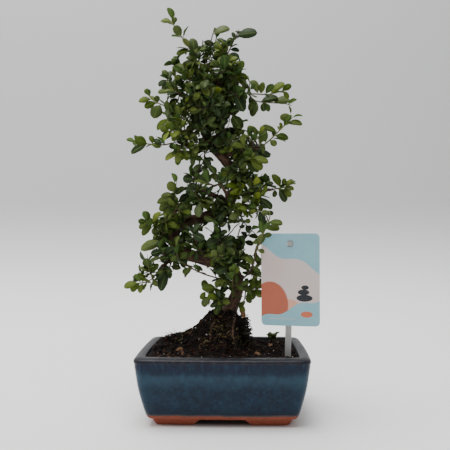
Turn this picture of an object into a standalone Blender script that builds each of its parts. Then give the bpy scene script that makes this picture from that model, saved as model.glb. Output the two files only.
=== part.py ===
"""Cotoneaster bonsai with an S-shaped trunk, in a glazed rectangular pot with a plant label.

Run it with: blender --background --python part.py
Everything below is in millimetres and is scaled to metres when an object is made.
The numbers are from the middle of the pot, on the table. +X is to the right, -Y to the front, +Z up.
At the end everything moves so that the origin is under the middle of the whole plant.
"""

import math
import random
from collections import namedtuple

import bmesh
import bpy
from mathutils import Matrix, Vector, noise
from mathutils.bvhtree import BVHTree
from mathutils.geometry import intersect_point_line

MM = 0.001
GAP = 0.35  # clear space left between two pieces that touch

# The plant's places are given as they are seen from the front, by an eye at this distance
# from the plane of the trunk, and then moved along the line of sight to their depth.
EYE_DISTANCE = 566.0
EYE_X = 15.4
EYE_HEIGHT = 169.2

# Pot
POT_WIDTH = 160.0
POT_DEPTH = 125.0
POT_HEIGHT = 63.6
POT_CORNER = 9.0  # corner radius in plan
POT_BULGE = 1.2  # how far the middle of each side bows out
FOOT_HEIGHT = 6.2
FLOOR_HEIGHT = 11.0
# height, and how far the surface stands in from the widest line of the pot
POT_OUTSIDE = (
    (FOOT_HEIGHT, 14.5),
    (10.6, 10.2),
    (32.5, 4.6),
    (52.0, 1.8),
    (57.0, 0.9),
    (58.6, 0.1),
    (60.8, 0.0),
    (62.4, 1.2),
    (63.3, 4.2),
)
RIM_INNER_EDGE = (POT_HEIGHT, 8.6)
POT_INSIDE = ((62.6, 9.8), (48.0, 11.4), (FLOOR_HEIGHT + 1.5, 17.6), (FLOOR_HEIGHT, 20.0))
FOOT_OUTER = 14.8  # inset of the foot ring where it leaves the body
FOOT_TOE = 18.6  # inset of the foot ring on the table
FOOT_INNER = 30.0
ARCH_HALF_TOP = (20.0, 14.0)  # half widths of the gaps between the feet, front and side
ARCH_HALF_BOTTOM = (26.0, 19.0)
DRAIN_RADIUS = 6.5
DRAIN_X = 30.0

# Soil
SOIL_LEVEL = 60.6
MOUND_X = 4.0
MOUND_Y = 2.0
MOUND_TOP = 100.5
MOUND_REACH = {"left": 32.0, "right": 19.0, "front": 23.0, "back": 27.0}  # to half its height
RIDGE_HEIGHT = 9.0  # the low ridge that runs from the mound to the left
RIDGE_X = -41.0
RIDGE_Y = 8.0
RIDGE_REACH = 17.0

# Plant label
CARD_WIDTH = 54.0
CARD_HEIGHT = 85.6
CARD_THICK = 0.8
CARD_X = 63.0
CARD_Y = -38.0
CARD_MIDDLE = 132.5
CARD_YAW = math.radians(-10)
CARD_HOLE_RADIUS = 3.2
CARD_HOLE_DROP = 9.5  # below the card's top edge
STAKE_WIDTH = 5.6
STAKE_THICK = 1.8
STAKE_FOOT = 26.0  # height of its buried end
PEG_RADIUS = 2.6

# Leaves
LEAF_LENGTH = 13.0
LEAF_SHARE = 0.5  # width as a share of the length
LEAF_THICK = 0.9  # at the rib
LEAF_STALK = 0.1  # share of the length
TWIG_RADIUS = 0.85
SHOOT_START = 0.4  # a shoot's radius where it leaves the wood
GOLDEN_ANGLE = math.radians(137.5)

Leaf = namedtuple("Leaf", "base tip face width arch fold")

# Trunk: x and height as seen from the front, depth, radius
TRUNK = (
    (3, 84, 1, 8.6),
    (5, 96, 1, 8.6),
    (9, 106, 0, 7.0),
    (13, 116, -2, 6.0),
    (14, 128, -4, 5.8),
    (8, 140, -7, 6.0),
    (-8, 147, -9, 6.2),
    (-24, 151, -9, 6.0),
    (-40, 157, -5, 5.9),
    (-50, 168, 1, 5.7),
    (-48, 181, 6, 5.5),
    (-36, 188, 8, 5.5),
    (-22, 191, 8, 5.6),
    (-8, 197, 6, 5.4),
    (5, 206, 3, 5.2),
    (11, 218, -1, 5.0),
    (11, 231, -5, 4.8),
    (5, 244, -8, 4.8),
    (-4, 255, -9, 4.7),
    (-14, 266, -7, 4.4),
    (-19, 280, -2, 4.2),
    (-17, 294, 3, 4.0),
    (-9, 306, 6, 3.7),
    (-5, 318, 5, 3.2),
    (-9, 332, 1, 2.7),
    (-15, 345, -2, 2.1),
)

# Boughs of old wood, given as the trunk is
BOUGHS = (
    ((-14, 266, -7, 3.2), (-28, 262, -11, 2.8), (-38, 265, -13, 2.2), (-46, 268, -13, 1.6)),
    ((4, 206, 3, 3.0), (-10, 214, -6, 2.6), (-22, 219, -11, 2.1), (-30, 224, -12, 1.4)),
    ((-4, 198, 5, 2.8), (9, 194, -8, 2.2), (15, 202, -14, 1.8), (23, 204, -16, 1.6), (33, 200, -15, 1.3)),
    ((10, 216, 0, 2.8), (24, 215, 4, 2.2), (38, 218, 7, 1.8), (50, 220, 8, 1.3)),
    ((-2, 252, -9, 2.8), (12, 257, -8, 2.2), (26, 260, -5, 1.7), (36, 262, -4, 1.3)),
    ((-42, 159, -4, 2.8), (-53, 150, -9, 2.3), (-65, 139, -13, 1.4)),
    ((0, 146, -8, 2.8), (-3, 157, 9, 2.2), (-2, 167, 26, 1.5)),
    ((-10, 196, 6, 2.8), (0, 206, 22, 2.2), (5, 219, 38, 1.5)),
    ((-14, 268, -6, 2.6), (-7, 274, 12, 2.0), (2, 280, 30, 1.4)),
    ((-7, 309, 6, 2.4), (8, 313, 3, 1.9), (19, 316, 0, 1.4)),
    ((-17, 292, 2, 2.6), (-33, 300, 3, 2.0), (-45, 304, 2, 1.4)),
    ((5, 208, 2, 2.4), (3, 215, -16, 1.9), (-1, 222, -30, 1.4)),
    ((-49, 176, 4, 2.6), (-46, 186, 21, 2.0), (-44, 195, 36, 1.4)),
)

# Surface roots: heading in degrees from +X towards the back, length along the ground
ROOTS = ((-8, 24), (-62, 24), (-118, 28), (-168, 40), (140, 30), (62, 26))

# Leafy sprays. "shoots" are routes of x, height as seen from the front, and depth; the first
# starts on the wood, and the others on the first. "drawn" leaves stand clear of the crown:
# the x and height of stalk and tip, and the width that shows from the front. "grown" is how
# many more leaves grow by rule, "loose" if they may spread in every direction.
SPRAYS = {
    "crown_tip_left": {
        "shoots": [[(-14, 341, -1), (-27, 350, -4), (-32, 359, -6), (-38, 368, -7), (-46, 380, -8),
                    (-52, 390, -8), (-52, 399, -8)]],
        "drawn": [(-42, 374, -50, 386, 8), (-53, 389, -64, 391, 3.5), (-51, 388, -49, 395, 5),
                  (-34, 363, -41, 373, 4), (-30, 357, -31, 373, 7.5), (-34, 361, -48, 357, 4),
                  (-28, 351, -38, 353, 3), (-28, 350, -42, 343, 6)],
        "grown": 3,
    },
    "crown_stems": {
        "shoots": [[(-12, 340, -1), (-18, 350, 3), (-21, 362, 5), (-21, 371, 5)],
                   [(-18, 350, 3), (-15, 358, -3), (-13, 369, -5), (-9, 384, -6)],
                   [(-18, 350, 3), (-11, 359, 9), (-7, 375, 11)]],
        "drawn": [(-21, 370, -10, 366, 6), (-11, 376, 6, 383, 6.5), (-14, 361, -4, 363, 5),
                  (-21, 357, -27, 365, 4), (-7, 372, 1, 369, 4)],
        "grown": 4,
    },
    "crown_tip_right": {
        "shoots": [[(-8, 330, 2), (-2, 345, -2), (3, 355, -4), (7, 363, -4), (11, 372, -3), (15, 380, -2)]],
        "drawn": [(14, 374, 34, 378, 9.5), (10, 372, 9, 379, 3), (8, 364, -3, 370, 5), (9, 367, 5, 373, 6),
                  (6, 361, 16, 360, 4), (5, 356, 16, 352, 7.5)],
        "grown": 3,
    },
    "crown_right": {
        "shoots": [[(-5, 322, 3), (6, 332, -5), (13, 336, -9), (17, 340, -10)]],
        "drawn": [(15, 338, 18, 350, 8), (16, 336, 24, 331, 6), (14, 335, 20, 325, 5), (9, 335, 16, 345, 4)],
        "grown": 4, "loose": True,
    },
    "crown_left": {
        "shoots": [[(-8, 330, 1), (-22, 329, -8), (-32, 330, -13), (-40, 333, -15), (-44, 341, -16)]],
        "drawn": [(-41, 335, -47, 347, 9), (-36, 332, -30, 342, 5), (-41, 335, -50, 332, 5)],
        "grown": 4, "loose": True,
    },
    "crown_left_low": {
        "shoots": [[(-12, 302, 4), (-26, 314, 2), (-39, 321, 0), (-49, 327, -2), (-57, 331, -3)]],
        "drawn": [(-56, 331, -61, 341, 5.5), (-57, 331, -66, 325, 5), (-54, 330, -62, 320, 5.5),
                  (-50, 327, -56, 317, 6)],
        "grown": 4, "loose": True,
    },
    "crown_front": {
        "shoots": [[(-7, 322, 3), (-12, 326, -12), (-17, 330, -26), (-19, 333, -34)],
                   [(-12, 326, -12), (-3, 336, -20), (2, 341, -26)]],
        "drawn": [],
        "grown": 9, "loose": True,
    },
    "crown_front_low": {
        "shoots": [[(-13, 300, 4), (-13, 303, -10), (-11, 308, -24), (-12, 314, -32)]],
        "drawn": [(-13, 313, -10, 306, 5)],
        "grown": 6, "loose": True,
    },
    "crown_back_right": {
        "shoots": [[(-6, 320, 6), (-2, 330, 20), (4, 341, 32), (8, 348, 38)]],
        "drawn": [],
        "grown": 7, "loose": True,
    },
    "crown_back_left": {
        "shoots": [[(-11, 336, 1), (-20, 337, 15), (-30, 338, 27), (-37, 342, 34)]],
        "drawn": [],
        "grown": 7, "loose": True,
    },
    "crown_back": {
        "shoots": [[(-8, 309, 7), (-13, 314, 22), (-18, 320, 36), (-20, 326, 46)]],
        "drawn": [],
        "grown": 7, "loose": True,
    },
    "left_high": {
        "shoots": [[(-45, 304, 2), (-55, 304, -1), (-63, 306, -4), (-72, 311, -6), (-77, 317, -7)],
                   [(-55, 304, -1), (-53, 297, -8), (-56, 291, -13)]],
        "drawn": [(-76, 314, -79, 322, 5), (-72, 311, -86, 309, 4.5), (-68, 309, -80, 303, 7),
                  (-64, 306, -71, 292, 11), (-66, 308, -68, 315, 5.5), (-56, 304, -46, 311, 6),
                  (-56, 292, -67, 280, 2.5), (-54, 296, -43, 289, 6)],
        "grown": 2,
    },
    "left_yellow": {
        "shoots": [[(-19, 282, -2), (-32, 281, -14), (-44, 279, -22), (-56, 279, -27)]],
        "drawn": [(-55, 279, -64, 282, 6), (-52, 279, -62, 271, 6.5), (-49, 279, -57, 288, 6),
                  (-44, 279, -49, 289, 6), (-42, 279, -52, 269, 6), (-37, 280, -41, 270, 6)],
        "grown": 4, "loose": True,
    },
    "left_low_thin": {
        "shoots": [[(-46, 268, -13), (-61, 265, -14), (-76, 266, -16), (-86, 267, -17), (-91, 268, -18)]],
        "drawn": [(-76, 267, -90, 271, 9), (-77, 266, -93, 256, 2.5), (-89, 268, -98, 271, 2),
                  (-74, 266, -63, 263, 4.5), (-62, 265, -71, 270, 3)],
        "grown": 2,
    },
    "left_under": {
        "shoots": [[(-37, 264, -12), (-41, 259, -19), (-44, 257, -24)]],
        "drawn": [(-43, 258, -49, 264, 6), (-44, 257, -47, 247, 6.5), (-44, 257, -59, 250, 2),
                  (-40, 260, -33, 250, 6)],
        "grown": 2, "loose": True,
    },
    "under_bough": {
        "shoots": [[(-21, 263, -9), (-19, 256, -16), (-20, 249, -20), (-23, 244, -21)]],
        "drawn": [(-18, 254, -15, 241, 7.5), (-22, 246, -30, 238, 2.5), (-20, 250, -29, 252, 5)],
        "grown": 2,
    },
    "right_high": {
        "shoots": [[(19, 316, 0), (31, 316, 2), (46, 315.5, 4), (59, 319, 5), (63, 320, 5)],
                   [(25, 316, 1), (32, 309, 7), (48, 307, 10), (62, 306, 11), (68, 304, 11)]],
        "drawn": [(35, 316, 28, 330, 5.5), (38, 316, 40, 328, 5.5), (47, 316, 61, 327, 4.5),
                  (58, 319, 68, 325, 6), (60, 319, 65, 311, 4.5), (38, 308, 55, 312, 5),
                  (48, 307, 67, 309, 5.5), (39, 308, 40, 298, 6), (32, 310, 26, 299, 4.5),
                  (35, 309, 29, 293, 5)],
        "grown": 4,
    },
    "right_inner": {
        "shoots": [[(-4, 313, 5), (5, 318, -9), (10, 317, -18), (16, 312, -24)]],
        "drawn": [(12, 316, 20, 298, 8), (9, 317, 22, 305, 8), (6, 318, 2, 306, 7)],
        "grown": 3, "loose": True,
    },
    "right_leaf": {
        "shoots": [[(-15, 296, 2), (-4, 297, -7), (4, 296, -12), (10, 296, -15)]],
        "drawn": [(8, 296, 18, 280, 10.5), (4, 296, 13, 304, 6), (-2, 296, 2, 285, 6)],
        "grown": 2,
    },
    "right_mid_long": {
        "shoots": [[(36, 262, -4), (41, 265, -3), (48, 271, -1), (56, 279, 1), (64, 287, 3), (69, 292, 4)]],
        "drawn": [(63, 287, 60, 296, 9), (63, 286, 79, 285, 2.5), (54, 277, 38, 283, 2.5),
                  (57, 280, 57, 287, 2.5), (51, 274, 65, 271, 5.5), (46, 269, 53, 264, 6)],
        "grown": 2,
    },
    "right_mid_cluster": {
        "shoots": [[(24, 260, -6), (30, 267, -13), (35, 273, -17), (38, 277, -18)],
                   [(30, 267, -13), (25, 273, -18), (24, 278, -20)]],
        "drawn": [(37, 276, 39, 284, 4.5), (36, 274, 44, 277, 4.5), (34, 271, 43, 270, 4.5),
                  (24, 277, 28, 284, 5), (25, 274, 17, 272, 5)],
        "grown": 3,
    },
    "right_mid_low": {
        "shoots": [[(15, 257, -7), (22, 253, 1), (30, 256, 7), (36, 258, 10)]],
        "drawn": [(34, 257, 47, 253, 6.5), (28, 256, 38, 263, 4.5)],
        "grown": 4, "loose": True,
    },
    "right_shoulder": {
        "shoots": [[(4, 245, -8), (12, 248, -17), (20, 249, -22), (27, 251, -24)]],
        "drawn": [(26, 251, 45, 247, 2.5), (25, 251, 39, 240, 8), (20, 249, 35, 237, 2.5),
                  (18, 249, 29, 258, 7), (14, 249, 22, 238, 7)],
        "grown": 4, "loose": True,
    },
    "right_inner_mid": {
        "shoots": [[(11, 229, -4), (18, 231, 7), (24, 233, 15), (28, 236, 20)]],
        "drawn": [(24, 233, 31, 226, 5)],
        "grown": 5, "loose": True,
    },
    "mid_left_top": {
        "shoots": [[(-30, 224, -12), (-29, 229, -15), (-27, 234, -17), (-24, 241, -18)]],
        "drawn": [(-29, 230, -41, 231, 8), (-27, 231, -12, 231, 9.5), (-30, 226, -35, 219, 7),
                  (-25, 237, -30, 242, 4)],
        "grown": 4,
    },
    "mid_left_low": {
        "shoots": [[(-17, 217, -9), (-20, 211, -18), (-24, 207, -24)]],
        "drawn": [(-21, 210, -12, 203, 7)],
        "grown": 4, "loose": True,
    },
    "mid_upright": {
        "shoots": [[(-7, 212, -4), (-5, 218, -10), (-2, 224, -11), (-2, 230, -10)]],
        "drawn": [(-2, 227, -13, 235, 5), (-2, 229, 3, 238, 4.5), (-2, 224, 6, 221, 5)],
        "grown": 2,
    },
    "far_left_top": {
        "shoots": [[(-36, 188, 8), (-41, 198, 2), (-46, 206, -3), (-49, 215, -6), (-49, 227, -8)],
                   [(-41, 198, 2), (-45, 196, -8), (-49, 196, -14)]],
        "drawn": [(-50, 217, -55, 228, 8.5), (-48, 215, -39, 222, 4), (-49, 213, -63, 213, 3.5),
                  (-48, 210, -67, 207, 2.5), (-47, 207, -65, 200, 6.5), (-46, 206, -34, 215, 4),
                  (-43, 201, -33, 207, 3.5), (-47, 196, -61, 196, 7.5), (-45, 196, -53, 188, 9)],
        "grown": 2,
    },
    "far_left_mid": {
        "shoots": [[(-51, 170, 1), (-60, 177, -3), (-67, 183, -5), (-74, 187, -6), (-78, 188, -7)]],
        "drawn": [(-75, 187, -78, 198, 5), (-77, 188, -86, 188, 5.5), (-74, 187, -85, 181, 5),
                  (-71, 185, -82, 174, 4), (-68, 184, -70, 174, 5.5), (-67, 183, -69, 192, 7),
                  (-72, 186, -63, 197, 2), (-60, 178, -61, 191, 7.5)],
        "grown": 2,
    },
    "far_left_low": {
        "shoots": [[(-49, 165, 0), (-57, 167, 5), (-63, 169, 8)]],
        "drawn": [(-62, 169, -71, 173, 4.5), (-62, 168, -73, 167, 2), (-60, 168, -83, 159, 2)],
        "grown": 3, "loose": True,
    },
    "low_left_tip": {
        "shoots": [[(-65, 139, -13), (-71, 131, -16), (-78, 127, -18), (-86, 126, -19)],
                   [(-71, 131, -16), (-74, 138, -22), (-76, 144, -25)]],
        "drawn": [(-85, 126, -100, 122, 3), (-83, 126, -93, 118, 5.5), (-81, 127, -84, 116, 4.5),
                  (-78, 128, -86, 136, 5.5), (-75, 141, -78, 151, 8), (-73, 137, -65, 145, 5),
                  (-76, 142, -85, 139, 5), (-72, 131, -66, 123, 5)],
        "grown": 3,
    },
    "low_left_hang": {
        "shoots": [[(-51, 152, -8), (-53, 145, -14), (-55, 139, -17)],
                   [(-53, 145, -14), (-58, 153, -20), (-62, 160, -24)]],
        "drawn": [(-55, 139, -63, 118, 4.5), (-54, 142, -67, 130, 5.5), (-53, 143, -43, 141, 4.5),
                  (-61, 158, -73, 155, 7), (-59, 155, -49, 162, 7), (-60, 157, -66, 168, 5)],
        "grown": 3,
    },
    "long_runner": {
        "shoots": [[(12, 124, -4), (-2, 130, -16), (-19, 135, -20), (-34, 142, -22), (-43, 148, -24),
                    (-47, 156, -26)]],
        "drawn": [(-33, 142, -41, 136, 5.5), (-44, 150, -36, 156, 6), (-46, 154, -53, 148, 5)],
        "grown": 2,
    },
    "low_centre_left": {
        "shoots": [[(-17, 149, -9), (-22, 159, -19), (-28, 168, -25), (-31, 176, -27)]],
        "drawn": [(-31, 177, -19, 169, 8), (-29, 171, -39, 170, 6)],
        "grown": 4, "loose": True,
    },
    "low_centre": {
        "shoots": [[(-3, 145, -9), (-6, 158, -18), (-5, 170, -21), (-6, 182, -21)]],
        "drawn": [(-5, 172, -14, 174, 2.5), (-5, 167, -18, 164, 7), (-5, 165, 8, 161, 7), (-5, 175, 4, 178, 3),
                  (-6, 158, -16, 152, 7)],
        "grown": 2,
    },
    "low_centre_right": {
        "shoots": [[(9, 138, -7), (15, 149, -9), (18, 161, -9), (21, 170, -7), (28, 178, -4)]],
        "drawn": [(20, 168, 30, 165, 5), (24, 174, 34, 172, 2), (17, 158, 8, 153, 6), (19, 164, 11, 170, 5),
                  (16, 152, 26, 150, 6)],
        "grown": 3, "loose": True,
    },
    "low_front": {
        "shoots": [[(11, 134, -6), (8, 140, -20), (4, 146, -30), (1, 152, -37)]],
        "drawn": [(6, 143, -8, 136, 7)],
        "grown": 6, "loose": True,
    },
    "low_left_small": {
        "shoots": [[(11, 110, -1), (0, 112, -14), (-9, 113, -18), (-15, 116, -19), (-20, 120, -20)],
                   [(0, 112, -14), (-5, 118, -20), (-7, 122, -22)]],
        "drawn": [(-7, 122, -22, 121, 6.5), (-18, 118, -23, 110, 5), (-12, 114, -21, 103, 5.5),
                  (-6, 113, -10, 106, 4), (-3, 116, 3, 124, 6)],
        "grown": 2,
    },
    "low_right": {
        "shoots": [[(14, 120, -3), (22, 119, -12), (28, 119, -18), (33, 120, -21)],
                   [(22, 119, -12), (21, 111, -14), (19, 106, -14)]],
        "drawn": [(24, 119, 30, 110, 10), (31, 120, 42, 130, 5.5), (31, 119, 39, 113, 6.5), (27, 119, 33, 131, 5),
                  (19, 106, 19, 95, 4.5), (21, 112, 28, 107, 4.5)],
        "grown": 2,
    },
    "right_runner": {
        "shoots": [[(14, 127, -4), (25, 136, -20), (30, 147, -33), (33, 159, -41), (37, 169, -46),
                    (42, 181, -47), (46, 191, -46), (46, 198, -45)]],
        "drawn": [(45, 186, 59, 185, 2), (42, 180, 56, 181, 4.5), (38, 172, 48, 175, 3.5), (46, 197, 38, 196, 5),
                  (36, 166, 29, 167, 3), (34, 159, 41, 157, 3), (31, 151, 38, 149, 3), (30, 146, 22, 152, 5),
                  (28, 141, 37, 137, 3.5)],
        "grown": 2,
    },
    "base_shoot": {
        "shoots": [[(6, 104, -3), (8, 112, -17), (9, 124, -22), (9, 136, -24)]],
        "drawn": [(9, 132, 2, 139, 5), (9, 135, 16, 142, 5)],
        "grown": 2,
    },
    "shelf_tip": {
        "shoots": [[(50, 220, 8), (56, 221, 8), (61, 222, 8), (66, 224, 8)]],
        "drawn": [(55, 221, 62, 207, 6.5), (51, 220, 51, 212, 4.5), (60, 222, 67, 212, 6.5),
                  (57, 221, 49, 235, 4.5), (61, 222, 68, 229, 4.5), (65, 223, 70, 219, 4), (60, 222, 61, 231, 4)],
        "grown": 3,
    },
    "shelf_mid": {
        "shoots": [[(36, 217, 6), (40, 223, 0), (43, 227, -4)]],
        "drawn": [(42, 225, 30, 229, 4), (41, 224, 50, 226, 3.5)],
        "grown": 4, "loose": True,
    },
    "shelf_front": {
        "shoots": [[(22, 215, 3), (24, 216, -9), (25, 218, -20), (26, 220, -27)],
                   [(24, 216, -9), (33, 214, -15), (39, 211, -18)]],
        "drawn": [(36, 213, 44, 201, 8), (38, 212, 48, 200, 2.5)],
        "grown": 6, "loose": True,
    },
    "arch_tip": {
        "shoots": [[(33, 200, -15), (40, 197, -14), (44, 190, -13), (46, 183, -12)]],
        "drawn": [(36, 199, 39, 184, 6.5), (41, 196, 50, 196, 4.5), (44, 190, 38, 181, 2.5)],
        "grown": 1,
    },
    "arch_hang": {
        "shoots": [[(13, 199, -13), (19, 190, -18), (22, 185, -20), (34, 173, -20)],
                   [(20, 187, -19), (16, 179, -20), (14, 172, -20)]],
        "drawn": [(20, 188, 27, 188, 4.5), (23, 184, 25, 176, 3.5)],
        "grown": 1,
    },
    "back_low": {
        "shoots": [[(-2, 167, 26), (-8, 171, 37), (-12, 178, 46)],
                   [(-4, 168, 30), (4, 174, 38), (10, 180, 44)]],
        "drawn": [],
        "grown": 7, "loose": True,
    },
    "back_mid": {
        "shoots": [[(5, 219, 38), (3, 226, 48), (0, 234, 55)],
                   [(4, 222, 42), (12, 222, 48), (20, 226, 52)]],
        "drawn": [],
        "grown": 7, "loose": True,
    },
    "back_high": {
        "shoots": [[(2, 280, 30), (-3, 285, 41), (-8, 292, 48)],
                   [(0, 282, 34), (8, 282, 40), (15, 286, 44)]],
        "drawn": [],
        "grown": 7, "loose": True,
    },
    "back_left": {
        "shoots": [[(-44, 195, 36), (-48, 201, 44), (-52, 209, 50)],
                   [(-45, 197, 39), (-37, 200, 46), (-30, 206, 50)]],
        "drawn": [],
        "grown": 7, "loose": True,
    },
    "front_mid": {
        "shoots": [[(-1, 222, -30), (-4, 228, -38), (-8, 234, -43)],
                   [(-2, 224, -33), (-11, 224, -38), (-17, 227, -41)]],
        "drawn": [],
        "grown": 6, "loose": True,
    },
}


def seen(x, height, depth):
    """The point at this depth that covers x and height of the trunk's plane for the eye."""
    spread = 1 + depth / EYE_DISTANCE
    return Vector((EYE_X + (x - EYE_X) * spread, depth, EYE_HEIGHT + (height - EYE_HEIGHT) * spread))


def remove_everything():
    for item in list(bpy.data.objects):
        bpy.data.objects.remove(item)


def material(name, colour, roughness, metallic=0.0):
    made = bpy.data.materials.new(name)
    made.use_nodes = True
    shader = made.node_tree.nodes["Principled BSDF"]
    shader.inputs["Base Color"].default_value = (*colour, 1.0)
    shader.inputs["Roughness"].default_value = roughness
    shader.inputs["Metallic"].default_value = metallic
    return made


def object_from(bm, name, finish=None, smooth_degrees=None):
    """An object in metres from a bmesh in millimetres. The bmesh is freed."""
    bmesh.ops.recalc_face_normals(bm, faces=bm.faces)
    mesh = bpy.data.meshes.new(name)
    bm.to_mesh(mesh)
    bm.free()
    mesh.transform(Matrix.Scale(MM, 4))
    if finish:
        mesh.materials.append(finish)
    if smooth_degrees:
        mesh.shade_smooth()
        mesh.set_sharp_from_angle(angle=math.radians(smooth_degrees))
    made = bpy.data.objects.new(name, mesh)
    bpy.context.scene.collection.objects.link(made)
    return made


def combined(base, others, operation, solver="EXACT"):
    """Applies one Boolean of base with all the others, which are then removed."""
    group = bpy.data.collections.new(base.name + "_group")
    for other in others:
        group.objects.link(other)
    boolean = base.modifiers.new(operation.lower(), "BOOLEAN")
    boolean.operation = operation
    boolean.operand_type = "COLLECTION"
    boolean.collection = group
    boolean.solver = solver
    mesh = bpy.data.meshes.new_from_object(base.evaluated_get(bpy.context.evaluated_depsgraph_get()))
    base.modifiers.remove(boolean)
    base.data = mesh
    for other in others:
        bpy.data.objects.remove(other)
    bpy.data.collections.remove(group)
    return base


def tree_of(item):
    """A search tree of an object's faces, in millimetres."""
    points = [vertex.co / MM for vertex in item.data.vertices]
    return BVHTree.FromPolygons(points, [tuple(face.vertices) for face in item.data.polygons])


# Routes and rods


def smooth_route(points, steps):
    """A smooth curve through the points, with this many steps from each to the next."""
    ends = [points[0] * 2 - points[1], *points, points[-1] * 2 - points[-2]]
    route = []
    for before, start, end, after in zip(ends, ends[1:], ends[2:], ends[3:]):
        for step in range(steps):
            t = step / steps
            route.append(
                0.5 * (2 * start + (end - before) * t + (2 * before - 5 * start + 4 * end - after) * t**2
                       + (3 * start - before - 3 * end + after) * t**3)
            )
    return [*route, points[-1]]


def blended(values, steps):
    """The values with straight steps between them, as smooth_route spaces its points."""
    spans = zip(values, values[1:])
    return [a + (b - a) * step / steps for a, b in spans for step in range(steps)] + [values[-1]]


def add_rod(bm, route, radii, sides):
    """A tapering rod with closed ends along the route."""
    across = (route[1] - route[0]).orthogonal().normalized()
    rings = []
    for place, point in enumerate(route):
        ahead = (route[min(place + 1, len(route) - 1)] - route[max(place - 1, 0)]).normalized()
        across = (across - ahead * across.dot(ahead)).normalized()
        over = ahead.cross(across)
        rings.append([
            bm.verts.new(point + radii[place] * (across * math.cos(turn) + over * math.sin(turn)))
            for turn in (math.tau * side / sides for side in range(sides))
        ])
    for low, high in zip(rings, rings[1:]):
        for side in range(sides):
            following = (side + 1) % sides
            bm.faces.new((low[side], low[following], high[following], high[side]))
    bm.faces.new(rings[0])
    bm.faces.new(rings[-1])


def rod_object(name, route, radii, sides):
    bm = bmesh.new()
    add_rod(bm, route, radii, sides)
    return object_from(bm, name)


# Pot


def pot_section(inset, height, grow=0.0):
    """Points of the pot's plan, a rounded rectangle with slightly bowed sides, counter-clockwise."""
    half_x = POT_WIDTH / 2 - inset + grow
    half_y = POT_DEPTH / 2 - inset + grow
    radius = max(POT_CORNER - inset * 0.25, 4.0)
    arc_steps, side_points = 4, 3
    corners = ((1, -1, -90), (1, 1, 0), (-1, 1, 90), (-1, -1, 180))
    outline = []
    for order, (sign_x, sign_y, start) in enumerate(corners):
        middle = Vector((sign_x * (half_x - radius), sign_y * (half_y - radius)))
        for step in range(arc_steps + 1):
            turn = math.radians(start + 90 * step / arc_steps)
            outline.append(middle + radius * Vector((math.cos(turn), math.sin(turn))))
        next_x, next_y, next_start = corners[(order + 1) % 4]
        turn = math.radians(next_start)
        goal = Vector((next_x * (half_x - radius), next_y * (half_y - radius)))
        goal += radius * Vector((math.cos(turn), math.sin(turn)))
        outward = Vector((math.cos(turn), math.sin(turn)))
        start_point = outline[-1].copy()
        for step in range(1, side_points + 1):
            share = step / (side_points + 1)
            outline.append(start_point.lerp(goal, share) + outward * POT_BULGE * 4 * share * (1 - share))
    return [Vector((point.x, point.y, height)) for point in outline]


def add_loft(bm, sections):
    """A closed skin over sections that all have the same number of points."""
    rings = [[bm.verts.new(point) for point in section] for section in sections]
    for low, high in zip(rings, rings[1:]):
        for order in range(len(low)):
            following = (order + 1) % len(low)
            bm.faces.new((low[order], low[following], high[following], high[order]))
    bm.faces.new(rings[0])
    bm.faces.new(rings[-1])


def add_prism(bm, outline, low, high, axis):
    """A prism whose outline lies across the axis, 'X' or 'Y', with the second number as height."""
    def place(u, v, w):
        return (w, u, v) if axis == "X" else (u, w, v)

    ends = [[bm.verts.new(place(u, v, w)) for u, v in outline] for w in (low, high)]
    for order in range(len(outline)):
        following = (order + 1) % len(outline)
        bm.faces.new((ends[0][order], ends[0][following], ends[1][following], ends[1][order]))
    bm.faces.new(ends[0])
    bm.faces.new(ends[1])


def build_pot():
    """The glazed body with its rim, on four feet cut out of one foot ring."""
    clay = material("glazed_clay", (0.035, 0.075, 0.12), 0.25)
    bm = bmesh.new()
    profile = [*POT_OUTSIDE, RIM_INNER_EDGE, *POT_INSIDE]
    add_loft(bm, [pot_section(inset, height) for height, inset in profile])
    body = object_from(bm, "pot", clay, 40)

    into_body = 0.6
    bm = bmesh.new()
    add_loft(bm, [pot_section(FOOT_TOE, 0), pot_section(FOOT_OUTER, FOOT_HEIGHT + into_body),
                  pot_section(FOOT_INNER, FOOT_HEIGHT + into_body), pot_section(FOOT_INNER, 0)])
    # the ring is open in the middle, so its two end caps give way to one flat band
    for face in [face for face in bm.faces if len(face.verts) > 4]:
        bm.faces.remove(face)
    loops = [edge for edge in bm.edges if edge.is_boundary]
    bmesh.ops.bridge_loops(bm, edges=loops)
    ring = object_from(bm, "foot_ring")

    cutters = []
    for axis, top, bottom, reach in (
        ("Y", ARCH_HALF_TOP[0], ARCH_HALF_BOTTOM[0], POT_DEPTH),
        ("X", ARCH_HALF_TOP[1], ARCH_HALF_BOTTOM[1], POT_WIDTH),
    ):
        above = FOOT_HEIGHT + 0.3
        outline = [(-bottom - 1, -1), (bottom + 1, -1), (bottom, 0), (top, above), (-top, above), (-bottom, 0)]
        bm = bmesh.new()
        add_prism(bm, outline, -reach, reach, axis)
        cutters.append(object_from(bm, "arch_" + axis))
    ring = combined(ring, cutters[:1], "DIFFERENCE")
    ring = combined(ring, cutters[1:], "DIFFERENCE")
    body = combined(body, [ring], "UNION")

    drains = []
    for x in (-DRAIN_X, DRAIN_X):
        bm = bmesh.new()
        bmesh.ops.create_cone(bm, cap_ends=True, segments=14, radius1=DRAIN_RADIUS, radius2=DRAIN_RADIUS,
                              depth=FLOOR_HEIGHT * 2, matrix=Matrix.Translation((x, 0, FLOOR_HEIGHT)))
        drains.append(object_from(bm, "drain"))
    return combined(body, drains, "DIFFERENCE")


# Soil


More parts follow.
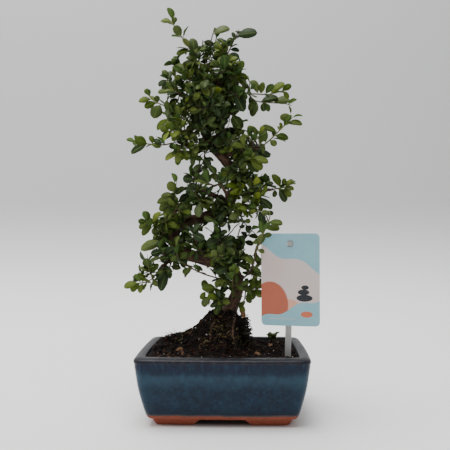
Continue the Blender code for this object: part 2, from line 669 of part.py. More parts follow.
def soil_height(x, y):
    """Height of the soil: level near the rim, with the root mound and a low ridge to its left."""
    dx, dy = x - MOUND_X, y - MOUND_Y
    reach_x = MOUND_REACH["left" if dx < 0 else "right"]
    reach_y = MOUND_REACH["front" if dy < 0 else "back"]
    away = math.hypot(dx / reach_x, dy / reach_y)
    mound = (MOUND_TOP - SOIL_LEVEL) * 0.5 ** (away**3)
    ridge = RIDGE_HEIGHT * math.exp(-(((x - RIDGE_X) ** 2 + (y - RIDGE_Y) ** 2) / RIDGE_REACH**2))
    lumps = 1.5 * noise.noise(Vector((x, y, 0)) / 9)
    return SOIL_LEVEL + mound + ridge + lumps


def soil_outline(height):
    """The pot's inner wall at this height, drawn in by the gap."""
    levels = sorted(POT_INSIDE)
    for (low, low_inset), (high, high_inset) in zip(levels, levels[1:]):
        if height <= high:
            share = (height - low) / (high - low)
            return pot_section(low_inset + (high_inset - low_inset) * share + GAP, height)
    return pot_section(levels[-1][1] + GAP, height)


def build_soil(cutters):
    """The soil that fills the pot, with plain holes where the roots, stake and seedling are."""
    bottom = FLOOR_HEIGHT + GAP
    edge = soil_outline(SOIL_LEVEL - 1)
    rings = 11
    bm = bmesh.new()
    levels = [soil_outline(bottom), soil_outline(FLOOR_HEIGHT + 3), soil_outline(36.0)]
    skin = [[bm.verts.new(point) for point in section] for section in levels]
    middle = Vector((MOUND_X, MOUND_Y, 0))
    for ring in range(rings):
        share = (1 - ring / rings) ** 1.1
        loop = []
        for point in edge:
            spot = middle.lerp(point, share)
            settle = 0.0 if ring else 1.0
            loop.append(bm.verts.new((spot.x, spot.y, soil_height(spot.x, spot.y) - settle)))
        skin.append(loop)
    for low, high in zip(skin, skin[1:]):
        for order in range(len(low)):
            following = (order + 1) % len(low)
            bm.faces.new((low[order], low[following], high[following], high[order]))
    bm.faces.new(skin[0])
    top = bm.verts.new((MOUND_X, MOUND_Y, soil_height(MOUND_X, MOUND_Y)))
    for order, vertex in enumerate(skin[-1]):
        bm.faces.new((vertex, skin[-1][(order + 1) % len(edge)], top))
    soil = object_from(bm, "soil", material("soil", (0.03, 0.02, 0.013), 0.95))
    return combined(soil, cutters, "DIFFERENCE")


# Wood


def lengthened(route, grow):
    """The route with both ends moved out by grow."""
    start = route[0] + (route[0] - route[1]).normalized() * grow
    end = route[-1] + (route[-1] - route[-2]).normalized() * grow
    return [start, *route[1:-1], end]


def wood_rods(grow=0.0):
    """The trunk, boughs and surface roots as (name, route, radii, sides), thicker by grow."""
    rods = []
    steps = 2
    route = smooth_route([seen(x, z, y) for x, z, y, _ in TRUNK], steps)
    radii = blended([row[3] + grow for row in TRUNK], steps)
    knots = [1 + 0.07 * noise.noise(point / 11) for point in route]
    rods.append(("trunk", lengthened(route, grow), [radius * knot for radius, knot in zip(radii, knots)], 8))
    for number, bough in enumerate(BOUGHS):
        route = smooth_route([seen(x, z, y) for x, z, y, _ in bough], 1)
        rods.append((f"bough_{number}", route, [row[3] + grow for row in bough], 6))
    for number, (heading, length) in enumerate(ROOTS):
        route, radii = root_route(heading, length, grow)
        rods.append((f"root_{number}", lengthened(route, grow), radii, 5))
    return rods


def root_route(heading, length, grow):
    """A root that leaves the trunk's foot, follows the mound half sunk and dives at its end."""
    turn = math.radians(heading)
    start_away, steps = 3.0, 6
    route, radii = [], []
    for step in range(steps + 1):
        share = step / steps
        bend = 0.25 * math.sin(share * 5 + heading)
        away = start_away + length * share
        x = MOUND_X + away * math.cos(turn + bend)
        y = MOUND_Y + away * math.sin(turn + bend)
        radius = 3.4 - 2.0 * share
        sunk = 0.3 * radius if step < steps else 4.0
        route.append(Vector((x, y, soil_height(x, y) - sunk)))
        radii.append(radius + grow)
    route[0].z -= 2.0
    return route, radii


def build_wood():
    bark = material("bark", (0.09, 0.06, 0.04), 0.85)
    rods = wood_rods()
    trunk = rod_object(*rods[0])
    trunk.data.materials.append(bark)
    joined = combined(trunk, [rod_object(*rod) for rod in rods[1:]], "UNION")
    joined.data.shade_smooth()
    joined.data.set_sharp_from_angle(angle=math.radians(60))
    return joined


def wood_cutters():
    """The buried wood, thicker by the gap, to be cut from the soil."""
    in_soil = 7
    cutters = []
    for name, route, radii, sides in wood_rods(GAP):
        if name == "trunk":
            cutters.append(rod_object("hole_trunk", route[:in_soil], radii[:in_soil], sides))
        elif name.startswith("root"):
            cutters.append(rod_object("hole_" + name, route, radii, sides))
    return cutters


# Plant label


def label_matrix():
    return Matrix.Translation((CARD_X, CARD_Y, CARD_MIDDLE)) @ Matrix.Rotation(CARD_YAW, 4, "Z")


def build_card():
    """The card, with round corners and the hole that hangs it on the stake's peg."""
    corner = 4.0
    bm = bmesh.new()
    half_x, half_z = CARD_WIDTH / 2, CARD_HEIGHT / 2
    outline = []
    for sign_x, sign_z, start in ((1, -1, -90), (1, 1, 0), (-1, 1, 90), (-1, -1, 180)):
        for step in range(4):
            turn = math.radians(start + 30 * step)
            outline.append((sign_x * (half_x - corner) + corner * math.cos(turn),
                            sign_z * (half_z - corner) + corner * math.sin(turn)))
    add_prism(bm, outline, -CARD_THICK / 2, CARD_THICK / 2, "Y")
    bmesh.ops.transform(bm, matrix=label_matrix(), verts=bm.verts)
    card = object_from(bm, "label_card", material("printed_card", (0.62, 0.58, 0.55), 0.45))
    bm = bmesh.new()
    hole = Matrix.Translation((0, 0, half_z - CARD_HOLE_DROP)) @ Matrix.Rotation(math.pi / 2, 4, "X")
    bmesh.ops.create_cone(bm, cap_ends=True, segments=12, radius1=CARD_HOLE_RADIUS, radius2=CARD_HOLE_RADIUS,
                          depth=6, matrix=label_matrix() @ hole)
    return combined(card, [object_from(bm, "card_hole")], "DIFFERENCE")


def stake_shape(grow):
    """The stake's strip as a bmesh: behind the card, leaning a little, with a pointed foot."""
    lean = 0.025
    behind = CARD_THICK / 2 + GAP
    top = CARD_HEIGHT / 2 - 4.0
    foot = STAKE_FOOT - CARD_MIDDLE - grow
    half = STAKE_WIDTH / 2 + grow
    peg_z = CARD_HEIGHT / 2 - CARD_HOLE_DROP
    outline = [(-half, foot + 9), (-1.0, foot), (1.0, foot), (half, foot + 9), (half, top), (-half, top)]
    outline = [(u + lean * (v - peg_z), v) for u, v in outline]
    bm = bmesh.new()
    add_prism(bm, outline, behind - grow, behind + STAKE_THICK + grow, "Y")
    bmesh.ops.transform(bm, matrix=label_matrix(), verts=bm.verts)
    return bm


def build_stake():
    """The clear plastic stake, whose peg passes through the card's hole."""
    stake = object_from(stake_shape(0.0), "label_stake", material("clear_plastic", (0.6, 0.6, 0.58), 0.3))
    bm = bmesh.new()
    peg_front, peg_back = -CARD_THICK / 2 - 1.0, CARD_THICK / 2 + GAP + 0.5
    place = Matrix.Translation((0, (peg_front + peg_back) / 2, CARD_HEIGHT / 2 - CARD_HOLE_DROP))
    bmesh.ops.create_cone(bm, cap_ends=True, segments=10, radius1=PEG_RADIUS, radius2=PEG_RADIUS,
                          depth=peg_back - peg_front,
                          matrix=label_matrix() @ place @ Matrix.Rotation(math.pi / 2, 4, "X"))
    return combined(stake, [object_from(bm, "peg")], "UNION")


# Leaves and sprays


def leaf_half_width(along):
    """Half the blade's width at this share of the leaf's length, as a share of its widest half."""
    if along <= LEAF_STALK or along >= 1:
        return 0.0
    share = (along - LEAF_STALK) / (1 - LEAF_STALK)
    return math.sin(math.pi * share**0.9) ** 0.75


def leaf_point(leaf, along, across):
    """A point of the blade, from 0 at the stalk to 1 at the tip, and -1 to 1 from edge to edge."""
    axis = leaf.tip - leaf.base
    side = axis.cross(leaf.face).normalized()
    half = leaf.width / 2 * leaf_half_width(along)
    lift = leaf.arch * axis.length * 4 * along * (1 - along) + leaf.fold * half * abs(across)
    return leaf.base + axis * along + side * half * across + leaf.face * lift


LEAF_STATIONS = (0.36, 0.76)
RIB_STATION = 0.5


def leaf_skin(leaf, swell=0.0):
    """Points and faces of a blade that is thick at the rib and thins to its edge."""
    wide = leaf._replace(width=leaf.width + 2 * swell)
    stretch = (leaf.tip - leaf.base).normalized() * swell
    points = [leaf.base, *(leaf_point(wide, along, 1) for along in LEAF_STATIONS), leaf.tip + stretch,
              *(leaf_point(wide, along, -1) for along in reversed(LEAF_STATIONS))]
    count = len(points)
    rib = leaf_point(leaf, RIB_STATION, 0)
    half = leaf.face * (LEAF_THICK / 2 + swell)
    points += [rib + half, rib - half]
    faces = []
    for order in range(count):
        following = (order + 1) % count
        faces.append((following, order, count))
        faces.append((order, following, count + 1))
    return points, faces


def blade_object(leaf):
    points, faces = leaf_skin(leaf)
    bm = bmesh.new()
    corners = [bm.verts.new(point) for point in points]
    for face in faces:
        bm.faces.new([corners[order] for order in face])
    return object_from(bm, "blade")


def faced(axis, wish):
    """The unit vector across the axis that comes nearest to the wish."""
    flat = wish - axis * wish.dot(axis)
    if flat.length < 1e-6:
        flat = axis.orthogonal()
    return flat.normalized()


def nearest_on(routes, target):
    """The point of the routes that covers the target best for the eye, and the route's heading there."""
    best = None
    for route in routes:
        for start, end in zip(route, route[1:]):
            for share in (0.1, 0.3, 0.5, 0.7, 0.85):
                point = start.lerp(end, share)
                away = (seen(*target, point.y) - point).length
                if best is None or away < best[0]:
                    best = (away, point, (end - start).normalized())
    return best[1], best[2]


def drawn_leaf(chance, routes, row, attempt):
    """A leaf that shows from the front as its row says; each attempt swings it in depth."""
    base_x, base_z, tip_x, tip_z, shown = row
    base, _ = nearest_on(routes, (base_x, base_z))
    length = math.hypot(tip_x - base_x, tip_z - base_z)
    swing = chance.uniform(-0.3, 0.3) * length + (attempt + 1) // 2 * (-1) ** attempt * 2.0
    tip = seen(tip_x, tip_z, base.y + swing)
    axis = (tip - base).normalized()
    width = max(shown, LEAF_SHARE * (tip - base).length)
    turn = math.acos(min(1.0, shown / width))
    towards_eye = faced(axis, Vector((0, -1, 0)))
    beside = axis.cross(towards_eye)
    if beside.z < 0:
        beside = -beside
    face = towards_eye * math.cos(turn) + beside * math.sin(turn)
    return Leaf(base, tip, face.normalized(), width, chance.uniform(0.03, 0.1), chance.uniform(0.05, 0.3))


def grown_leaf(chance, routes, order, count, loose, attempt):
    """A leaf that grows by rule: leaves turn about the shoot by the golden angle."""
    spans = [(start, end) for route in routes for start, end in zip(route, route[1:])][1:]
    total = sum((end - start).length for start, end in spans)
    wanted = total * (order + chance.uniform(0.3, 0.9)) / count
    for start, end in spans:
        step = (end - start).length
        if wanted <= step:
            break
        wanted -= step
    base = start.lerp(end, min(0.9, max(0.1, wanted / step)))
    ahead = (end - start).normalized()
    across = faced(ahead, Vector((0, 0, 1)))
    turn = GOLDEN_ANGLE * order + chance.uniform(-0.5, 0.5) + attempt * 0.9
    radial = across * math.cos(turn) + ahead.cross(across) * math.sin(turn)
    if not loose:
        radial = Vector((radial.x * 0.4, radial.y * 1.4 + math.copysign(0.3, radial.y), radial.z * 0.4))
        radial.normalize()
    lean = math.radians(chance.uniform(35, 75))
    axis = (ahead * math.cos(lean) + radial * math.sin(lean) + Vector((0, 0, 0.22))).normalized()
    length = LEAF_LENGTH * chance.uniform(0.72, 1.2) * (1 - 0.04 * attempt)
    wish = Vector((chance.uniform(-0.5, 0.5), chance.uniform(-0.7, 0.3), 1)) + radial * -0.2
    width = LEAF_SHARE * length * chance.uniform(0.9, 1.15)
    return Leaf(base, base + axis * length, faced(axis, wish), width, chance.uniform(0.02, 0.1),
                chance.uniform(0.1, 0.4))


def held_off(point, wood, clearance):
    """The point, moved straight away from the wood's surface if it is nearer than the clearance."""
    surface, normal, _, away = wood.find_nearest(point)
    if (point - surface).dot(normal) >= clearance:
        return point
    return surface + normal * clearance


def spray_routes(rows, wood, rod_lines):
    """The shoots' smooth routes. The first starts just clear of the wood, the others in the first."""
    routes = []
    for number, row in enumerate(rows):
        points = [seen(*place) for place in row]
        if number == 0:
            centre = min((intersect_point_line(points[0], a, b)[0] for a, b in rod_lines
                          if 0 <= intersect_point_line(points[0], a, b)[1] <= 1),
                         key=lambda spot: (spot - points[0]).length)
            inward = (centre - points[1]).normalized()
            surface = wood.ray_cast(points[1], inward)[0]
            points[0] = surface - inward * GAP
        else:
            points[0] = min((point for point in routes[0]), key=lambda spot: (spot - points[0]).length)
        route = smooth_route(points, 2 if len(points) < 4 else 1 + (number == 0))
        first = SHOOT_START + GAP if number == 0 else TWIG_RADIUS + GAP
        clearances = [first, *[TWIG_RADIUS + GAP] * (len(route) - 1)]
        routes.append([held_off(point, wood, clear) for point, clear in zip(route, clearances)])
    return routes


def shoot_radii(route, first):
    """A shoot tapers to its tip; the first also narrows to a point where it meets the wood."""
    radii = [TWIG_RADIUS * (1 - 0.4 * order / (len(route) - 1)) for order in range(len(route))]
    if first:
        radii[0] = SHOOT_START
    return radii


class Crowd:
    """The leaves placed so far, with what they must stay clear of."""

    def __init__(self, fixed):
        self.fixed = fixed
        self.placed = []
        self.twigs = {}

    def is_clear(self, owner, leaf):
        loose_skin = BVHTree.FromPolygons(*leaf_skin(leaf, 0.55))
        if any(loose_skin.overlap(tree) for tree in self.fixed):
            return False
        if any(loose_skin.overlap(tree) for name, tree in self.twigs.items() if name != owner):
            return False
        tight_skin = None
        middle = (leaf.base + leaf.tip) / 2
        reach = (leaf.tip - leaf.base).length / 2 + 1.5
        for name, other, other_middle, other_reach in self.placed:
            if (middle - other_middle).length > reach + other_reach:
                continue
            if name != owner:
                if loose_skin.overlap(other):
                    return False
            else:
                tight_skin = tight_skin or BVHTree.FromPolygons(*leaf_skin(leaf))
                if tight_skin.overlap(other):
                    return False
        return True

    def add(self, owner, leaf):
        middle = (leaf.base + leaf.tip) / 2
        reach = (leaf.tip - leaf.base).length / 2 + 1.5
        self.placed.append((owner, BVHTree.FromPolygons(*leaf_skin(leaf)), middle, reach))


ATTEMPTS = 9


def place_leaves(crowd, all_routes):
    """Every spray's leaves, drawn ones first, none of them touching another spray."""
    leaves = {name: [] for name in SPRAYS}

    def settle(name, make):
        for attempt in range(ATTEMPTS):
            leaf = make(attempt)
            if crowd.is_clear(name, leaf):
                crowd.add(name, leaf)
                leaves[name].append(leaf)
                return

    for number, (name, spray) in enumerate(SPRAYS.items()):
        chance = random.Random(100 + number)
        for row in spray["drawn"]:
            settle(name, lambda attempt: drawn_leaf(chance, all_routes[name], row, attempt))
    for number, (name, spray) in enumerate(SPRAYS.items()):
        chance = random.Random(500 + number)
        count, loose = spray["grown"], spray.get("loose", False)
        for order in range(count):
            settle(name, lambda attempt: grown_leaf(chance, all_routes[name], order, count, loose, attempt))
    return leaves


def build_sprays(wood, obstacles):
    """One node for each leafy spray: its shoots and leaves fused in one solid."""
    green = material("leaf_green", (0.06, 0.09, 0.02), 0.5)
    wood_tree = tree_of(wood)
    rod_lines = [pair for _, route, _, _ in wood_rods() for pair in zip(route, route[1:])]
    all_routes = {name: spray_routes(spray["shoots"], wood_tree, rod_lines) for name, spray in SPRAYS.items()}
    crowd = Crowd([wood_tree, *(tree_of(item) for item in obstacles)])
    rods = {}
    for name, routes in all_routes.items():
        rods[name] = [rod_object("shoot", route, shoot_radii(route, number == 0), 3)
                      for number, route in enumerate(routes)]
        points, faces = [], []
        for rod in rods[name]:
            offset = len(points)
            points += [vertex.co / MM for vertex in rod.data.vertices]
            faces += [tuple(order + offset for order in face.vertices) for face in rod.data.polygons]
        crowd.twigs[name] = BVHTree.FromPolygons(points, faces)
    leaves = place_leaves(crowd, all_routes)
    for name, (stem, *side_shoots) in rods.items():
        stem.name = name
        stem.data.materials.append(green)
        combined(stem, [*side_shoots, *(blade_object(leaf) for leaf in leaves[name])], "UNION", "MANIFOLD")
    print("leaves", sum(len(group) for group in leaves.values()))


def build_weed():
    """The seedling that has sprung up in the soil: a short stem with narrow leaves."""
    x, y = 50.0, 29.0
    ground = soil_height(x, y)
    chance = random.Random(7)
    stem_route = [Vector((x, y, ground - 3)), Vector((x, y, ground + 2)), Vector((x + 1, y - 1, ground + 9))]
    stem = rod_object("weed", stem_route, [0.8, 0.8, 0.6], 4)
    stem.data.materials.append(material("weed_green", (0.03, 0.05, 0.015), 0.6))
    blades = []
    for order in range(7):
        base = stem_route[1].lerp(stem_route[2], 0.15 + 0.75 * order / 7)
        turn = GOLDEN_ANGLE * order
        axis = Vector((math.cos(turn), math.sin(turn), 1.1)).normalized()
        length = chance.uniform(5, 8)
        blades.append(blade_object(Leaf(base, base + axis * length, faced(axis, Vector((0, 0, 1))), 2.4, 0.06, 0.2)))
    combined(stem, blades, "UNION")
    bm = bmesh.new()
    bmesh.ops.create_cone(bm, cap_ends=True, segments=8, radius1=0.8 + GAP, radius2=0.8 + GAP, depth=14,
                          matrix=Matrix.Translation((x, y, ground + 7 - 3 - GAP)))
    return stem, object_from(bm, "hole_weed")


def centre_all():
    """Moves everything level, so that the origin is the middle of its box, at the table."""
    meshes = [item.data for item in bpy.context.scene.objects]
    points = [vertex.co for mesh in meshes for vertex in mesh.vertices]
    middle = Vector([(min(p[i] for p in points) + max(p[i] for p in points)) / 2 for i in (0, 1)] + [0.0])
    for mesh in meshes:
        mesh.transform(Matrix.Translation(-middle))


def build():
    remove_everything()
    pot = build_pot()
    wood = build_wood()
    card, stake = build_card(), build_stake()
    weed, weed_hole = build_weed()
    soil = build_soil([*wood_cutters(), object_from(stake_shape(GAP), "stake_hole"), weed_hole])
    build_sprays(wood, [pot, soil, card, stake, weed])
    centre_all()


build()
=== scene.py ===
"""A small cotoneaster bonsai with an S-shaped trunk, dressed with its leaves, bark, soil, glaze and label.

Everything is worked out in millimetres from the middle of the pot, on the table, with -Y to the front.
"""

import math
import random
from collections import namedtuple

import bmesh
import bpy
from mathutils import Matrix, Vector, noise
from mathutils.bvhtree import BVHTree
from mathutils.geometry import intersect_point_line
from mathutils.kdtree import KDTree


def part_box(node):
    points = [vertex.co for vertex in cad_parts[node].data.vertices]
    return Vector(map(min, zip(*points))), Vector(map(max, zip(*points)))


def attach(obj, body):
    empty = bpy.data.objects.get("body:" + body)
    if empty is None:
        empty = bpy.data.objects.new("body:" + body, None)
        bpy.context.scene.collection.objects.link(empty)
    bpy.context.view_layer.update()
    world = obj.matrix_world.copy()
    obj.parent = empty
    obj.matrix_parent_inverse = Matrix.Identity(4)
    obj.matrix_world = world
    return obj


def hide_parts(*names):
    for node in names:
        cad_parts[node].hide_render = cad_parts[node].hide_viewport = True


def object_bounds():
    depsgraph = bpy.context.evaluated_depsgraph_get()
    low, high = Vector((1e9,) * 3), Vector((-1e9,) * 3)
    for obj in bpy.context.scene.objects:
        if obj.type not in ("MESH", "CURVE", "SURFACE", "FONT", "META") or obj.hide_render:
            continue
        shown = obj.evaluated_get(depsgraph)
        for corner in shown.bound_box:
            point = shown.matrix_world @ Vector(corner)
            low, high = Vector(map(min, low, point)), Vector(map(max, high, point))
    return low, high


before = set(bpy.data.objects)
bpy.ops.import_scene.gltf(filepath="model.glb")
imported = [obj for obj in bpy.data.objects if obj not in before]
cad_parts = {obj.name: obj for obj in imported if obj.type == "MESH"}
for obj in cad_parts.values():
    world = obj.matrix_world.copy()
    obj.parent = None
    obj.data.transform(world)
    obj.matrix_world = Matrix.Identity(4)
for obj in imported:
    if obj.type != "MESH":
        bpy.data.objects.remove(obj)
cad_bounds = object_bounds()

MM = 0.001
POT_LOW, POT_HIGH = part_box("pot")
POT_MIDDLE = Vector(((POT_LOW.x + POT_HIGH.x) / 2, (POT_LOW.y + POT_HIGH.y) / 2, 0.0))
TO_FRAME = Matrix.Translation(POT_MIDDLE) @ Matrix.Scale(MM, 4)
TO_WORKSHOP = TO_FRAME.inverted()

# Eye and lens, in the photograph's own pixels where the name says so
PHOTO_SIDE_PX = 450
FOCAL_PX = 566.0
AHEAD_PX = (239.0, 240.0)  # where +Y vanishes
SENSOR = 36.0
EYE_DISTANCE = 566.0
EYE_X = 15.4
EYE_HEIGHT = 169.2
EYE = Vector((EYE_X, -EYE_DISTANCE, EYE_HEIGHT))

# Pot
POT_WIDTH = 160.0
POT_DEPTH = 125.0
POT_CORNER = 9.0
CORNER_LOSS = 0.25  # how much the plan's corners tighten for each millimetre farther in
LEAST_CORNER = 4.0
POT_BULGE = 1.2
FOOT_HEIGHT = 6.2
FLOOR_HEIGHT = 11.0
# The pot's profile, up its outside, over the rim and down inside: height, and how far inside the plan
POT_WALL = ((FOOT_HEIGHT, 14.5), (10.6, 10.2), (32.5, 4.2), (52.0, 1.2), (57.0, 0.6))
POT_LIP = ((58.2, 0.42), (59.0, 0.2), (60.0, 0.0), (60.8, 0.05), (61.4, 0.2))
POT_RIM = ((61.8, 0.55), (62.5, 1.6), (63.1, 3.2), (63.5, 5.4), (63.6, 8.6), (63.2, 9.4), (62.4, 9.9))
POT_INSIDE = ((48.0, 11.4), (FLOOR_HEIGHT + 1.5, 17.6), (FLOOR_HEIGHT, 20.0))
FOOT_OUTER = 14.8
FOOT_TOE = 18.6
FOOT_INNER = 30.0
FOOT_IN_BODY = 0.6
TOE_BEVEL = 0.8
ARCH_HALF_TOP = (20.0, 14.0)
ARCH_HALF_BOTTOM = (26.0, 19.0)
ARCH_OVER = 0.3  # how far the arches reach above the feet
ARCH_STEP = 1.2  # height below which they flare out
ARCH_FLARE = 2.5
DRAIN_RADIUS = 6.5
DRAIN_X = 30.0
GLAZE_FOOT = 10.2  # height where the glaze ends

# Soil
SOIL_LEVEL = 60.6
MOUND_X = 4.0
MOUND_Y = 2.0
MOUND_TOP = 99.5
MOUND_REACH = {"left": 30.0, "right": 14.0, "front": 23.0, "back": 27.0}
MOUND_STEEPNESS = {"left": 3.0, "right": 4.6}
RIDGE_HEIGHT = 11.0
RIDGE_X = -41.0
RIDGE_Y = 8.0
RIDGE_REACH = 17.0

# Plant label
CARD_X = 63.0
CARD_Y = -38.0
CARD_MIDDLE = 132.5
CARD_YAW = math.radians(-10)

# Leaves
GAP = 0.35
LEAF_LENGTH = 13.0
LEAF_SHARE = 0.5
LEAF_THICK = 0.9
LEAF_STALK = 0.1
TWIG_RADIUS = 0.85
SHOOT_START = 0.4
GOLDEN_ANGLE = math.radians(137.5)
UP = Vector((0, 0, 1))
BLADE_THICK = 0.28
BLADE_SPREAD = 1.12  # width of the fine blades beside that of the solids' leaves
TURN_KEPT = 0.5  # share of a drawn leaf's turn away from the front

Leaf = namedtuple("Leaf", "base tip face width arch fold")
Spray = namedtuple("Spray", "shoots drawn grown loose", defaults=(False,))

# The trunk and its boughs: x and height as seen from the front, depth, and radius
TRUNK = (
    (3, 84, 1, 8.6),
    (5, 96, 1, 8.6),
    (9, 106, 0, 7.0),
    (13, 116, -2, 6.0),
    (14, 128, -4, 5.8),
    (8, 140, -7, 6.0),
    (-8, 147, -9, 6.2),
    (-24, 151, -9, 6.0),
    (-40, 157, -5, 5.9),
    (-50, 168, 1, 5.7),
    (-48, 181, 6, 5.5),
    (-36, 188, 8, 5.5),
    (-22, 191, 8, 5.6),
    (-8, 197, 6, 5.4),
    (5, 206, 3, 5.2),
    (11, 218, -1, 5.0),
    (11, 231, -5, 4.8),
    (5, 244, -8, 4.8),
    (-4, 255, -9, 4.7),
    (-14, 266, -7, 4.4),
    (-19, 280, -2, 4.2),
    (-17, 294, 3, 4.0),
    (-9, 306, 6, 3.7),
    (-5, 318, 5, 3.2),
    (-9, 332, 1, 2.7),
    (-15, 345, -2, 2.1),
)

BOUGHS = (
    ((-14, 266, -7, 3.2), (-28, 262, -11, 2.8), (-38, 265, -13, 2.2), (-46, 268, -13, 1.6)),
    ((4, 206, 3, 3.0), (-10, 214, -6, 2.6), (-22, 219, -11, 2.1), (-30, 224, -12, 1.4)),
    ((-4, 198, 5, 2.8), (9, 194, -8, 2.2), (15, 202, -14, 1.8), (23, 204, -16, 1.6), (33, 200, -15, 1.3)),
    ((10, 216, 0, 2.8), (24, 215, 4, 2.2), (38, 218, 7, 1.8), (50, 220, 8, 1.3)),
    ((-2, 252, -9, 2.8), (12, 257, -8, 2.2), (26, 260, -5, 1.7), (36, 262, -4, 1.3)),
    ((-42, 159, -4, 2.8), (-53, 150, -9, 2.3), (-65, 139, -13, 1.4)),
    ((0, 146, -8, 2.8), (-3, 157, 9, 2.2), (-2, 167, 26, 1.5)),
    ((-10, 196, 6, 2.8), (0, 206, 22, 2.2), (5, 219, 38, 1.5)),
    ((-14, 268, -6, 2.6), (-7, 274, 12, 2.0), (2, 280, 30, 1.4)),
    ((-7, 309, 6, 2.4), (8, 313, 3, 1.9), (19, 316, 0, 1.4)),
    ((-17, 292, 2, 2.6), (-33, 300, 3, 2.0), (-45, 304, 2, 1.4)),
    ((5, 208, 2, 2.4), (3, 215, -16, 1.9), (-1, 222, -30, 1.4)),
    ((-49, 176, 4, 2.6), (-46, 186, 21, 2.0), (-44, 195, 36, 1.4)),
)

# Surface roots: heading in degrees, and length
ROOTS = ((-8, 24), (-62, 24), (-118, 28), (-168, 40), (140, 30), (62, 26))

